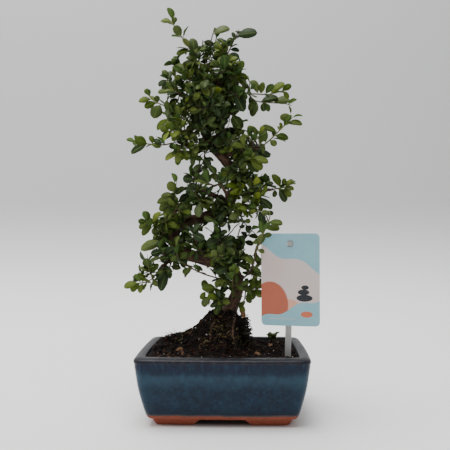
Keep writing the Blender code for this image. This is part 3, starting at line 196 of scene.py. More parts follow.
# Leafy sprays. First their shoots, routes of x, height as seen from the front, and depth; the first
# starts on the wood, and the others on the first. Then the leaves that stand clear of the crown: the
# x and height of stalk and tip, and the width that shows from the front. Then how many more leaves
# grow by rule, and True if they may spread in every direction.
SPRAYS = {
    "crown_tip_left": Spray(
        [[(-14, 341, -1), (-27, 350, -4), (-32, 359, -6), (-38, 368, -7), (-46, 380, -8), (-52, 390, -8),
          (-52, 399, -8)]],
        [(-42, 374, -50, 386, 8), (-53, 389, -64, 391, 3.5), (-51, 388, -49, 395, 5),
         (-34, 363, -41, 373, 4), (-30, 357, -31, 373, 7.5), (-34, 361, -48, 357, 4),
         (-28, 351, -38, 353, 3), (-28, 350, -42, 343, 6)], 3),
    "crown_stems": Spray(
        [[(-12, 340, -1), (-18, 350, 3), (-21, 362, 5), (-21, 371, 5)],
         [(-18, 350, 3), (-15, 358, -3), (-13, 369, -5), (-9, 384, -6)],
         [(-18, 350, 3), (-11, 359, 9), (-7, 375, 11)]],
        [(-21, 370, -10, 366, 6), (-11, 376, 6, 383, 6.5), (-14, 361, -4, 363, 5), (-21, 357, -27, 365, 4),
         (-7, 372, 1, 369, 4)], 4),
    "crown_tip_right": Spray(
        [[(-8, 330, 2), (-2, 345, -2), (3, 355, -4), (7, 363, -4), (11, 372, -3), (15, 380, -2)]],
        [(14, 374, 34, 378, 9.5), (10, 372, 9, 379, 3), (8, 364, -3, 370, 5), (9, 367, 5, 373, 6),
         (6, 361, 16, 360, 4), (5, 356, 16, 352, 7.5)], 3),
    "crown_right": Spray(
        [[(-5, 322, 3), (6, 332, -5), (13, 336, -9), (17, 340, -10)]],
        [(15, 338, 18, 350, 8), (16, 336, 24, 331, 6), (14, 335, 20, 325, 5), (9, 335, 16, 345, 4)],
        4, True),
    "crown_left": Spray(
        [[(-8, 330, 1), (-22, 329, -8), (-32, 330, -13), (-40, 333, -15), (-44, 341, -16)]],
        [(-41, 335, -47, 347, 9), (-36, 332, -30, 342, 5), (-41, 335, -50, 332, 5)], 4, True),
    "crown_left_low": Spray(
        [[(-12, 302, 4), (-26, 314, 2), (-39, 321, 0), (-49, 327, -2), (-57, 331, -3)]],
        [(-56, 331, -61, 341, 5.5), (-57, 331, -66, 325, 5), (-54, 330, -62, 320, 5.5),
         (-50, 327, -56, 317, 6)], 4, True),
    "crown_front": Spray(
        [[(-7, 322, 3), (-12, 326, -12), (-17, 330, -26), (-19, 333, -34)],
         [(-12, 326, -12), (-3, 336, -20), (2, 341, -26)]],
        [], 9, True),
    "crown_front_low": Spray(
        [[(-13, 300, 4), (-13, 303, -10), (-11, 308, -24), (-12, 314, -32)]],
        [(-13, 313, -10, 306, 5)], 6, True),
    "crown_back_right": Spray(
        [[(-6, 320, 6), (-2, 330, 20), (4, 341, 32), (8, 348, 38)]],
        [], 7, True),
    "crown_back_left": Spray(
        [[(-11, 336, 1), (-20, 337, 15), (-30, 338, 27), (-37, 342, 34)]],
        [], 7, True),
    "crown_back": Spray(
        [[(-8, 309, 7), (-13, 314, 22), (-18, 320, 36), (-20, 326, 46)]],
        [], 7, True),
    "left_high": Spray(
        [[(-45, 304, 2), (-55, 304, -1), (-63, 306, -4), (-72, 311, -6), (-77, 317, -7)],
         [(-55, 304, -1), (-53, 297, -8), (-56, 291, -13)]],
        [(-76, 314, -79, 322, 5), (-72, 311, -86, 309, 4.5), (-68, 309, -80, 303, 7),
         (-64, 306, -71, 292, 11), (-66, 308, -68, 315, 5.5), (-56, 304, -46, 311, 6),
         (-56, 292, -67, 280, 2.5), (-54, 296, -43, 289, 6)], 2),
    "left_yellow": Spray(
        [[(-19, 282, -2), (-32, 281, -14), (-44, 279, -22), (-56, 279, -27)]],
        [(-55, 279, -64, 282, 6), (-52, 279, -62, 271, 6.5), (-49, 279, -57, 288, 6),
         (-44, 279, -49, 289, 6), (-42, 279, -52, 269, 6), (-37, 280, -41, 270, 6)], 4, True),
    "left_low_thin": Spray(
        [[(-46, 268, -13), (-61, 265, -14), (-76, 266, -16), (-86, 267, -17), (-91, 268, -18)]],
        [(-76, 267, -90, 271, 9), (-77, 266, -93, 256, 2.5), (-89, 268, -98, 271, 2),
         (-74, 266, -63, 263, 4.5), (-62, 265, -71, 270, 3)], 2),
    "left_under": Spray(
        [[(-37, 264, -12), (-41, 259, -19), (-44, 257, -24)]],
        [(-43, 258, -49, 264, 6), (-44, 257, -47, 247, 6.5), (-44, 257, -59, 250, 2),
         (-40, 260, -33, 250, 6)], 2, True),
    "under_bough": Spray(
        [[(-21, 263, -9), (-19, 256, -16), (-20, 249, -20), (-23, 244, -21)]],
        [(-18, 254, -15, 241, 7.5), (-22, 246, -30, 238, 2.5), (-20, 250, -29, 252, 5)], 2),
    "right_high": Spray(
        [[(19, 316, 0), (31, 316, 2), (46, 315.5, 4), (59, 319, 5), (63, 320, 5)],
         [(25, 316, 1), (32, 309, 7), (48, 307, 10), (62, 306, 11), (68, 304, 11)]],
        [(35, 316, 28, 330, 5.5), (38, 316, 40, 328, 5.5), (47, 316, 61, 327, 4.5), (58, 319, 68, 325, 6),
         (60, 319, 65, 311, 4.5), (38, 308, 55, 312, 5), (48, 307, 67, 309, 5.5), (39, 308, 40, 298, 6),
         (32, 310, 26, 299, 4.5), (35, 309, 29, 293, 5)], 4),
    "right_inner": Spray(
        [[(-4, 313, 5), (5, 318, -9), (10, 317, -18), (16, 312, -24)]],
        [(12, 316, 20, 298, 8), (9, 317, 22, 305, 8), (6, 318, 2, 306, 7)], 3, True),
    "right_leaf": Spray(
        [[(-15, 296, 2), (-4, 297, -7), (4, 296, -12), (10, 296, -15)]],
        [(8, 296, 18, 280, 10.5), (4, 296, 13, 304, 6), (-2, 296, 2, 285, 6)], 2),
    "right_mid_long": Spray(
        [[(36, 262, -4), (41, 265, -3), (48, 271, -1), (56, 279, 1), (64, 287, 3), (69, 292, 4)]],
        [(63, 287, 60, 296, 9), (63, 286, 79, 285, 2.5), (54, 277, 38, 283, 2.5), (57, 280, 57, 287, 2.5),
         (51, 274, 65, 271, 5.5), (46, 269, 53, 264, 6)], 2),
    "right_mid_cluster": Spray(
        [[(24, 260, -6), (30, 267, -13), (35, 273, -17), (38, 277, -18)],
         [(30, 267, -13), (25, 273, -18), (24, 278, -20)]],
        [(37, 276, 39, 284, 4.5), (36, 274, 44, 277, 4.5), (34, 271, 43, 270, 4.5), (24, 277, 28, 284, 5),
         (25, 274, 17, 272, 5)], 3),
    "right_mid_low": Spray(
        [[(15, 257, -7), (22, 253, 1), (30, 256, 7), (36, 258, 10)]],
        [(34, 257, 47, 253, 6.5), (28, 256, 38, 263, 4.5)], 4, True),
    "right_shoulder": Spray(
        [[(4, 245, -8), (12, 248, -17), (20, 249, -22), (27, 251, -24)]],
        [(26, 251, 45, 247, 2.5), (25, 251, 39, 240, 8), (20, 249, 35, 237, 2.5), (18, 249, 29, 258, 7),
         (14, 249, 22, 238, 7)], 4, True),
    "right_inner_mid": Spray(
        [[(11, 229, -4), (18, 231, 7), (24, 233, 15), (28, 236, 20)]],
        [(24, 233, 31, 226, 5)], 5, True),
    "mid_left_top": Spray(
        [[(-30, 224, -12), (-29, 229, -15), (-27, 234, -17), (-24, 241, -18)]],
        [(-29, 230, -41, 231, 8), (-27, 231, -12, 231, 9.5), (-30, 226, -35, 219, 7),
         (-25, 237, -30, 242, 4)], 4),
    "mid_left_low": Spray(
        [[(-17, 217, -9), (-20, 211, -18), (-24, 207, -24)]],
        [(-21, 210, -12, 203, 7)], 4, True),
    "mid_upright": Spray(
        [[(-7, 212, -4), (-5, 218, -10), (-2, 224, -11), (-2, 230, -10)]],
        [(-2, 227, -13, 235, 5), (-2, 229, 3, 238, 4.5), (-2, 224, 6, 221, 5)], 2),
    "far_left_top": Spray(
        [[(-36, 188, 8), (-41, 198, 2), (-46, 206, -3), (-49, 215, -6), (-49, 227, -8)],
         [(-41, 198, 2), (-45, 196, -8), (-49, 196, -14)]],
        [(-50, 217, -55, 228, 8.5), (-48, 215, -39, 222, 4), (-49, 213, -63, 213, 3.5),
         (-48, 210, -67, 207, 2.5), (-47, 207, -65, 200, 6.5), (-46, 206, -34, 215, 4),
         (-43, 201, -33, 207, 3.5), (-47, 196, -61, 196, 7.5), (-45, 196, -53, 188, 9)], 2),
    "far_left_mid": Spray(
        [[(-51, 170, 1), (-60, 177, -3), (-67, 183, -5), (-74, 187, -6), (-78, 188, -7)]],
        [(-75, 187, -78, 198, 5), (-77, 188, -86, 188, 5.5), (-74, 187, -85, 181, 5),
         (-71, 185, -82, 174, 4), (-68, 184, -70, 174, 5.5), (-67, 183, -69, 192, 7),
         (-72, 186, -63, 197, 2), (-60, 178, -61, 191, 7.5)], 2),
    "far_left_low": Spray(
        [[(-49, 165, 0), (-57, 167, 5), (-63, 169, 8)]],
        [(-62, 169, -71, 173, 4.5), (-62, 168, -73, 167, 2), (-60, 168, -83, 159, 2)], 3, True),
    "low_left_tip": Spray(
        [[(-65, 139, -13), (-71, 131, -16), (-78, 127, -18), (-86, 126, -19)],
         [(-71, 131, -16), (-74, 138, -22), (-76, 144, -25)]],
        [(-85, 126, -100, 122, 3), (-83, 126, -93, 118, 5.5), (-81, 127, -84, 116, 4.5),
         (-78, 128, -86, 136, 5.5), (-75, 141, -78, 151, 8), (-73, 137, -65, 145, 5),
         (-76, 142, -85, 139, 5), (-72, 131, -66, 123, 5)], 3),
    "low_left_hang": Spray(
        [[(-51, 152, -8), (-53, 145, -14), (-55, 139, -17)],
         [(-53, 145, -14), (-58, 153, -20), (-62, 160, -24)]],
        [(-55, 139, -63, 118, 4.5), (-54, 142, -67, 130, 5.5), (-53, 143, -43, 141, 4.5),
         (-61, 158, -73, 155, 7), (-59, 155, -49, 162, 7), (-60, 157, -66, 168, 5)], 3),
    "long_runner": Spray(
        [[(12, 124, -4), (-2, 130, -16), (-19, 135, -20), (-34, 142, -22), (-43, 148, -24), (-47, 156, -26)]],
        [(-33, 142, -41, 136, 5.5), (-44, 150, -36, 156, 6), (-46, 154, -53, 148, 5)], 2),
    "low_centre_left": Spray(
        [[(-17, 149, -9), (-22, 159, -19), (-28, 168, -25), (-31, 176, -27)]],
        [(-31, 177, -19, 169, 8), (-29, 171, -39, 170, 6)], 4, True),
    "low_centre": Spray(
        [[(-3, 145, -9), (-6, 158, -18), (-5, 170, -21), (-6, 182, -21)]],
        [(-5, 172, -14, 174, 2.5), (-5, 167, -18, 164, 7), (-5, 165, 8, 161, 7), (-5, 175, 4, 178, 3),
         (-6, 158, -16, 152, 7)], 2),
    "low_centre_right": Spray(
        [[(9, 138, -7), (15, 149, -9), (18, 161, -9), (21, 170, -7), (28, 178, -4)]],
        [(20, 168, 30, 165, 5), (24, 174, 34, 172, 2), (17, 158, 8, 153, 6), (19, 164, 11, 170, 5),
         (16, 152, 26, 150, 6)], 3, True),
    "low_front": Spray(
        [[(11, 134, -6), (8, 140, -20), (4, 146, -30), (1, 152, -37)]],
        [(6, 143, -8, 136, 7)], 6, True),
    "low_left_small": Spray(
        [[(11, 110, -1), (0, 112, -14), (-9, 113, -18), (-15, 116, -19), (-20, 120, -20)],
         [(0, 112, -14), (-5, 118, -20), (-7, 122, -22)]],
        [(-7, 122, -22, 121, 6.5), (-18, 118, -23, 110, 5), (-12, 114, -21, 103, 5.5),
         (-6, 113, -10, 106, 4), (-3, 116, 3, 124, 6)], 2),
    "low_right": Spray(
        [[(14, 120, -3), (22, 119, -12), (28, 119, -18), (33, 120, -21)],
         [(22, 119, -12), (21, 111, -14), (19, 106, -14)]],
        [(24, 119, 30, 110, 10), (31, 120, 42, 130, 5.5), (31, 119, 39, 113, 6.5), (27, 119, 33, 131, 5),
         (19, 106, 19, 95, 4.5), (21, 112, 28, 107, 4.5)], 2),
    "right_runner": Spray(
        [[(14, 127, -4), (25, 136, -20), (30, 147, -33), (33, 159, -41), (37, 169, -46), (42, 181, -47),
          (46, 191, -46), (46, 198, -45)]],
        [(45, 186, 59, 185, 2), (42, 180, 56, 181, 4.5), (38, 172, 48, 175, 3.5), (46, 197, 38, 196, 5),
         (36, 166, 29, 167, 3), (34, 159, 41, 157, 3), (31, 151, 38, 149, 3), (30, 146, 22, 152, 5),
         (28, 141, 37, 137, 3.5)], 2),
    "base_shoot": Spray(
        [[(6, 104, -3), (8, 112, -17), (9, 124, -22), (9, 136, -24)]],
        [(9, 132, 2, 139, 5), (9, 135, 16, 142, 5)], 2),
    "shelf_tip": Spray(
        [[(50, 220, 8), (56, 221, 8), (61, 222, 8), (66, 224, 8)]],
        [(55, 221, 62, 207, 6.5), (51, 220, 51, 212, 4.5), (60, 222, 67, 212, 6.5), (57, 221, 49, 235, 4.5),
         (61, 222, 68, 229, 4.5), (65, 223, 70, 219, 4), (60, 222, 61, 231, 4)], 3),
    "shelf_mid": Spray(
        [[(36, 217, 6), (40, 223, 0), (43, 227, -4)]],
        [(42, 225, 30, 229, 4), (41, 224, 50, 226, 3.5)], 4, True),
    "shelf_front": Spray(
        [[(22, 215, 3), (24, 216, -9), (25, 218, -20), (26, 220, -27)],
         [(24, 216, -9), (33, 214, -15), (39, 211, -18)]],
        [(36, 213, 44, 201, 8), (38, 212, 48, 200, 2.5)], 6, True),
    "arch_tip": Spray(
        [[(33, 200, -15), (40, 197, -14), (44, 190, -13), (46, 183, -12)]],
        [(36, 199, 39, 184, 6.5), (41, 196, 50, 196, 4.5), (44, 190, 38, 181, 2.5)], 1),
    "arch_hang": Spray(
        [[(13, 199, -13), (19, 190, -18), (22, 185, -20), (34, 173, -20)],
         [(20, 187, -19), (16, 179, -20), (14, 172, -20)]],
        [(20, 188, 27, 188, 4.5), (23, 184, 25, 176, 3.5)], 1),
    "back_low": Spray(
        [[(-2, 167, 26), (-8, 171, 37), (-12, 178, 46)], [(-4, 168, 30), (4, 174, 38), (10, 180, 44)]],
        [], 7, True),
    "back_mid": Spray(
        [[(5, 219, 38), (3, 226, 48), (0, 234, 55)], [(4, 222, 42), (12, 222, 48), (20, 226, 52)]],
        [], 7, True),
    "back_high": Spray(
        [[(2, 280, 30), (-3, 285, 41), (-8, 292, 48)], [(0, 282, 34), (8, 282, 40), (15, 286, 44)]],
        [], 7, True),
    "back_left": Spray(
        [[(-44, 195, 36), (-48, 201, 44), (-52, 209, 50)],
         [(-45, 197, 39), (-37, 200, 46), (-30, 206, 50)]],
        [], 7, True),
    "front_mid": Spray(
        [[(-1, 222, -30), (-4, 228, -38), (-8, 234, -43)],
         [(-2, 224, -33), (-11, 224, -38), (-17, 227, -41)]],
        [], 6, True),
}


# Places, routes and pieces


def seen(x, height, depth):
    """The point at this depth that covers x and height of the trunk's plane for the eye."""
    spread = 1 + depth / EYE_DISTANCE
    return Vector((EYE_X + (x - EYE_X) * spread, depth, EYE_HEIGHT + (height - EYE_HEIGHT) * spread))


def smooth_route(points, steps):
    """A smooth curve through the points, with this many steps from each to the next."""
    ends = [points[0] * 2 - points[1], *points, points[-1] * 2 - points[-2]]
    route = []
    for before, start, end, after in zip(ends, ends[1:], ends[2:], ends[3:]):
        for step in range(steps):
            t = step / steps
            route.append(
                0.5 * (2 * start + (end - before) * t + (2 * before - 5 * start + 4 * end - after) * t**2
                       + (3 * start - before - 3 * end + after) * t**3)
            )
    return [*route, points[-1]]


def blended(values, steps):
    """The values with straight steps between them, as smooth_route spaces its points."""
    spans = zip(values, values[1:])
    return [a + (b - a) * step / steps for a, b in spans for step in range(steps)] + [values[-1]]


def soil_height(x, y):
    """Height of the soil: level near the rim, with the root mound and a low ridge to its left."""
    dx, dy = x - MOUND_X, y - MOUND_Y
    reach_x = MOUND_REACH["left" if dx < 0 else "right"]
    reach_y = MOUND_REACH["front" if dy < 0 else "back"]
    away = math.hypot(dx / reach_x, dy / reach_y)
    mound = (MOUND_TOP - SOIL_LEVEL) * 0.5 ** (away ** MOUND_STEEPNESS["left" if dx < 0 else "right"])
    ridge = RIDGE_HEIGHT * math.exp(-(((x - RIDGE_X) ** 2 + (y - RIDGE_Y) ** 2) / RIDGE_REACH**2))
    lumps = 1.5 * noise.noise(Vector((x, y, 0)) / 9)
    return SOIL_LEVEL + mound + ridge + lumps


def round_mound(away, turn):
    """x and y at this distance and direction from the mound's middle."""
    return MOUND_X + away * math.cos(turn), MOUND_Y + away * math.sin(turn)


def scatter(chance, spread=1.0):
    """A random vector whose three parts have this spread."""
    return Vector([chance.gauss(0, spread) for _ in range(3)])


def workshop_tree(node):
    """A search tree of a CAD node's faces, in millimetres from the middle of the pot."""
    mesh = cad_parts[node].data
    points = [TO_WORKSHOP @ vertex.co for vertex in mesh.vertices]
    return BVHTree.FromPolygons(points, [tuple(face.vertices) for face in mesh.polygons])


def made_object(bm, name):
    """The bmesh as an object in the scene."""
    mesh = bpy.data.meshes.new(name)
    bm.to_mesh(mesh)
    bm.free()
    made = bpy.data.objects.new(name, mesh)
    bpy.context.scene.collection.objects.link(made)
    return made


def finished(bm, name, finishes):
    """The object of a bmesh in millimetres, set in the frame and shaded smooth."""
    made = made_object(bm, name)
    made.data.transform(TO_FRAME)
    for finish in finishes:
        made.data.materials.append(finish)
    made.data.shade_smooth()
    return made


def piece_from(bm, name, finishes, stands_for=(), smooth_degrees=None):
    """The finished piece of a bmesh in millimetres, riding on the one body."""
    piece = finished(bm, name, finishes)
    if smooth_degrees:
        piece.data.set_sharp_from_angle(angle=math.radians(smooth_degrees))
    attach(piece, "root")
    if stands_for:
        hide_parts(*stands_for)
    return piece


def evaluated(made):
    """The object's mesh with its modifiers applied."""
    return bpy.data.meshes.new_from_object(made.evaluated_get(bpy.context.evaluated_depsgraph_get()))


def points_in(geom):
    """The points among what an operator gives back."""
    return [item for item in geom if isinstance(item, bmesh.types.BMVert)]


# Shader building


class Socket:
    """A shader value that can be added, multiplied and so on, in its own material's tree."""

    def __init__(self, finish, link):
        self.finish = finish
        self.link = link

    def __add__(self, other):
        return self.finish.maths("ADD", self, other)

    def __radd__(self, other):
        return self.finish.maths("ADD", other, self)

    def __sub__(self, other):
        return self.finish.maths("SUBTRACT", self, other)

    def __rsub__(self, other):
        return self.finish.maths("SUBTRACT", other, self)

    def __mul__(self, other):
        return self.finish.maths("MULTIPLY", self, other)

    def __rmul__(self, other):
        return self.finish.maths("MULTIPLY", other, self)

    def __truediv__(self, other):
        return self.finish.maths("DIVIDE", self, other)

    def __pow__(self, other):
        return self.finish.maths("POWER", self, other)

    def __abs__(self):
        return self.finish.maths("ABSOLUTE", self)

    def step(self, low, high):
        """0 below low and 1 above high, with a smooth rise between."""
        return self.finish.node("MapRange", {"interpolation_type": "SMOOTHSTEP"}, self, low, high, 0.0, 1.0)


class Finish:
    """A material with one Principled shader, and the nodes that feed it."""

    def __init__(self, name, **constants):
        self.material = bpy.data.materials.new(name)
        self.material.use_nodes = True
        self.nodes = self.material.node_tree.nodes
        self.links = self.material.node_tree.links
        self.shader = self.nodes["Principled BSDF"]
        for socket, value in constants.items():
            self.shader.inputs[socket.replace("_", " ")].default_value = value

    def node(self, kind, settings, *values, out=0, **named):
        """Adds a node: its settings, then its sockets in order or by name."""
        made = self.nodes.new("ShaderNode" + kind)
        for setting, value in settings.items():
            setattr(made, setting, value)
        pairs = [*enumerate(values), *((key.replace("_", " "), value) for key, value in named.items())]
        for key, value in pairs:
            if isinstance(value, Socket):
                self.links.new(value.link, made.inputs[key])
            else:
                made.inputs[key].default_value = value
        return Socket(self, made.outputs[out])

    def maths(self, operation, *values):
        return self.node("Math", {"operation": operation}, *values)

    def place(self):
        """Where a point is, in millimetres."""
        where = self.node("TexCoord", {}, out=3)
        return self.node("VectorMath", {"operation": "SCALE"}, where, Scale=1 / MM)

    def stretched(self, vector, x, y, z):
        return self.node("VectorMath", {"operation": "MULTIPLY"}, vector, (x, y, z))

    def split(self, vector, axis):
        return self.node("SeparateXYZ", {}, vector, out=axis)

    def from_pot(self, here, axis):
        """How far a point is from the pot's middle along x or y, in millimetres."""
        return abs(self.split(here, axis) - POT_MIDDLE[axis] / MM)

    def noise(self, vector, size, detail=3.0, roughness=0.55):
        """Noise from 0 to 1 whose features are about this many millimetres."""
        return self.node("TexNoise", {}, Vector=vector, Scale=1 / size, Detail=detail, Roughness=roughness)

    def cells(self, vector, size):
        """Distance to the nearest of scattered points that lie about this many millimetres apart."""
        return self.node("TexVoronoi", {}, Vector=vector, Scale=1 / size)

    def attribute(self, name):
        return self.node("Attribute", {"attribute_name": name}, out=2)

    def ramp(self, value, *stops):
        """Colours over a value from 0 to 1, each stop a place and its colour."""
        ramp = self.node("ValToRGB", {}, value)
        elements = ramp.link.node.color_ramp.elements
        while len(elements) < len(stops):
            elements.new(0.5)
        for element, (place, *colour) in zip(elements, stops):
            element.position = place
            element.color = (*colour, 1.0)
        return ramp

    def mixed(self, share, first, second):
        """Colour first, going over to colour second as share goes from 0 to 1."""
        mix = self.nodes.new("ShaderNodeMix")
        mix.data_type = "RGBA"
        for socket, value in ((mix.inputs[0], share), (mix.inputs[6], first), (mix.inputs[7], second)):
            if isinstance(value, Socket):
                self.links.new(value.link, socket)
            else:
                socket.default_value = (*value, 1.0)
        return Socket(self, mix.outputs[2])

    def bump(self, height, distance, strength=1.0):
        """Relief of this many millimetres where height goes from 0 to 1."""
        return self.node("Bump", {}, Strength=strength, Distance=distance * MM, Height=height)

    def feed(self, **links):
        for socket, value in links.items():
            self.links.new(value.link, self.shader.inputs[socket.replace("_", " ")])
        return self.material


# Finishes


def leaf_finish():
    """Dark green when old, yellow-green when young, paler beneath, with a light midrib."""
    finish = Finish("leaf", Subsurface_Weight=0.15, Subsurface_Radius=(0.0012, 0.0016, 0.0004),
                    Specular_IOR_Level=0.05)
    blade = finish.node("UVMap", {"uv_map": "blade"})
    across = abs(finish.split(blade, 0) - 0.5) * 2.0
    along = finish.split(blade, 1)
    youth, tone, under = (finish.attribute(name) for name in ("youth", "tone", "under"))
    here = finish.place()
    patches = finish.noise(here, 3.0)
    old = finish.ramp(tone, (0.0, 0.010, 0.018, 0.010), (0.5, 0.030, 0.050, 0.024),
                      (1.0, 0.078, 0.108, 0.050))
    young = finish.ramp(tone, (0.0, 0.075, 0.125, 0.008), (0.6, 0.16, 0.205, 0.017),
                        (1.0, 0.26, 0.30, 0.045))
    top = finish.mixed(youth, old, young)
    top = finish.mixed(patches.step(0.45, 0.75) * 0.35, top, (0.032, 0.056, 0.018))
    beneath = finish.mixed(youth, (0.040, 0.080, 0.022), (0.085, 0.135, 0.028))
    green = finish.mixed(under, top, beneath)
    rib = 1.0 - across.step(0.03, 0.12)
    veins = finish.maths("PINGPONG", along * 9.0 - across * 2.6, 0.5)
    vein_line = 1.0 - veins.step(0.0, 0.16)
    green = finish.mixed(rib * 0.5, green, (0.15, 0.20, 0.05))
    green = finish.mixed(vein_line * 0.14, green, (0.13, 0.18, 0.04))
    edge = across.step(0.86, 1.0)
    green = finish.mixed(edge * 0.3, green, (0.05, 0.05, 0.012))
    relief = 0.6 * rib + 0.35 * vein_line + 0.3 * finish.noise(here, 0.5)
    return finish.feed(
        Base_Color=green,
        Roughness=0.36 + 0.3 * under + 0.15 * patches,
        Normal=finish.bump(relief, -0.12, 0.6),
    )


def twig_finish():
    """Brown shoots that turn green towards the tip."""
    finish = Finish("twig_bark", IOR=1.4)
    here = finish.place()
    youth = finish.attribute("youth")
    spots = finish.noise(here, 0.8)
    brown = finish.ramp(spots, (0.3, 0.035, 0.020, 0.012), (0.7, 0.10, 0.062, 0.036))
    colour = finish.mixed(youth.step(0.35, 0.95), brown, (0.15, 0.17, 0.035))
    return finish.feed(Base_Color=colour, Roughness=0.55 + 0.3 * spots, Normal=finish.bump(spots, 0.15))


def bark_finish():
    """Red-brown bark, darker in its cracks, with pale lenticels and a little algae."""
    finish = Finish("old_bark", IOR=1.4)
    here = finish.place()
    rough = finish.noise(here, 5.0, 6.0, 0.65)
    fine = finish.noise(here, 1.1, 4.0)
    depth = finish.attribute("crack")
    colour = finish.ramp(rough, (0.25, 0.040, 0.018, 0.010), (0.5, 0.088, 0.045, 0.027),
                         (0.78, 0.17, 0.105, 0.068))
    colour = finish.mixed(depth * 0.85, colour, (0.018, 0.008, 0.005))
    algae = finish.noise(here, 14.0).step(0.55, 0.75)
    colour = finish.mixed(algae * 0.3, colour, (0.06, 0.062, 0.028))
    dots = 1.0 - finish.cells(finish.stretched(here, 1.0, 1.0, 1.8), 2.6).step(0.08, 0.18)
    colour = finish.mixed(dots * 0.3, colour, (0.22, 0.16, 0.12))
    relief = 0.6 * rough + 0.4 * fine
    return finish.feed(Base_Color=colour, Roughness=0.72 + 0.2 * fine, Normal=finish.bump(relief, 0.7))


def soil_finish():
    """Moist dark compost with red-brown bits and straw-coloured fibres."""
    finish = Finish("compost", Specular_IOR_Level=0.2)
    here = finish.place()
    tone = finish.attribute("tone")
    clods = finish.noise(here, 2.2, 5.0, 0.7)
    grit = finish.cells(here, 0.9)
    colour = finish.ramp(clods, (0.3, 0.0015, 0.0009, 0.0006), (0.55, 0.0042, 0.0025, 0.0016),
                         (0.8, 0.018, 0.010, 0.006))
    colour = finish.mixed(tone.step(0.45, 0.9) * 0.55, colour, (0.040, 0.014, 0.007))
    colour = finish.mixed(tone.step(0.92, 1.0) * 0.6, colour, (0.13, 0.07, 0.035))
    relief = 0.7 * clods + 0.3 * grit
    return finish.feed(Base_Color=colour, Roughness=0.8 + 0.18 * clods, Normal=finish.bump(relief, 0.8))


def root_finish():
    """Fine roots, from straw to dark brown."""
    finish = Finish("fine_root", IOR=1.4)
    here = finish.place()
    tone = finish.attribute("tone")
    colour = finish.ramp(tone, (0.0, 0.008, 0.005, 0.003), (0.6, 0.036, 0.023, 0.014),
                         (1.0, 0.20, 0.155, 0.10))
    spots = finish.noise(here, 1.0)
    return finish.feed(Base_Color=finish.mixed(spots.step(0.5, 0.8) * 0.5, colour, (0.02, 0.012, 0.008)),
                       Roughness=0.65 + 0.25 * spots)


def moss_finish():
    """Dry moss, from dark olive to straw."""
    finish = Finish("dry_moss", Specular_IOR_Level=0.25)
    tone = finish.attribute("tone")
    spots = finish.noise(finish.place(), 1.5)
    colour = finish.ramp(tone, (0.0, 0.040, 0.036, 0.010), (0.5, 0.14, 0.10, 0.032),
                         (1.0, 0.38, 0.30, 0.15))
    colour = finish.mixed(spots * 0.35, colour, (0.05, 0.04, 0.012))
    return finish.feed(Base_Color=colour, Roughness=0.7 + 0.2 * spots)


def perlite_finish():
    """White foamed grains with darker pores."""
    finish = Finish("perlite_white", IOR=1.4)
    pores = finish.cells(finish.place(), 0.5)
    colour = finish.mixed(pores.step(0.2, 0.6), (0.42, 0.39, 0.34), (0.72, 0.70, 0.66))
    return finish.feed(Base_Color=colour, Roughness=0.75 + 0.2 * pores, Normal=finish.bump(pores, 0.3))


def chip_finish():
    """Flakes of bark with a fibrous grain."""
    finish = Finish("bark_chip", IOR=1.4)
    here = finish.place()
    grain = finish.noise(finish.stretched(here, 0.3, 1.6, 1.6), 1.2, 4.0)
    colour = finish.ramp(grain, (0.3, 0.035, 0.015, 0.008), (0.6, 0.10, 0.045, 0.024),
                         (0.8, 0.22, 0.13, 0.08))
    return finish.feed(Base_Color=colour, Roughness=0.7 + 0.25 * grain, Normal=finish.bump(grain, 0.4))


def dead_leaf_finish():
    """A brown leaf with a paler midrib."""
    finish = Finish("dead_leaf", IOR=1.4)
    blade = finish.node("UVMap", {"uv_map": "blade"})
    rib = 1.0 - (abs(finish.split(blade, 0) - 0.5) * 2.0).step(0.03, 0.14)
    spots = finish.noise(finish.place(), 1.6)
    colour = finish.ramp(spots, (0.3, 0.07, 0.033, 0.014), (0.6, 0.19, 0.10, 0.045),
                         (0.8, 0.33, 0.20, 0.09))
    colour = finish.mixed(rib * 0.5, colour, (0.34, 0.22, 0.11))
    return finish.feed(Base_Color=colour, Roughness=0.6 + 0.3 * spots, Normal=finish.bump(spots, 0.3))


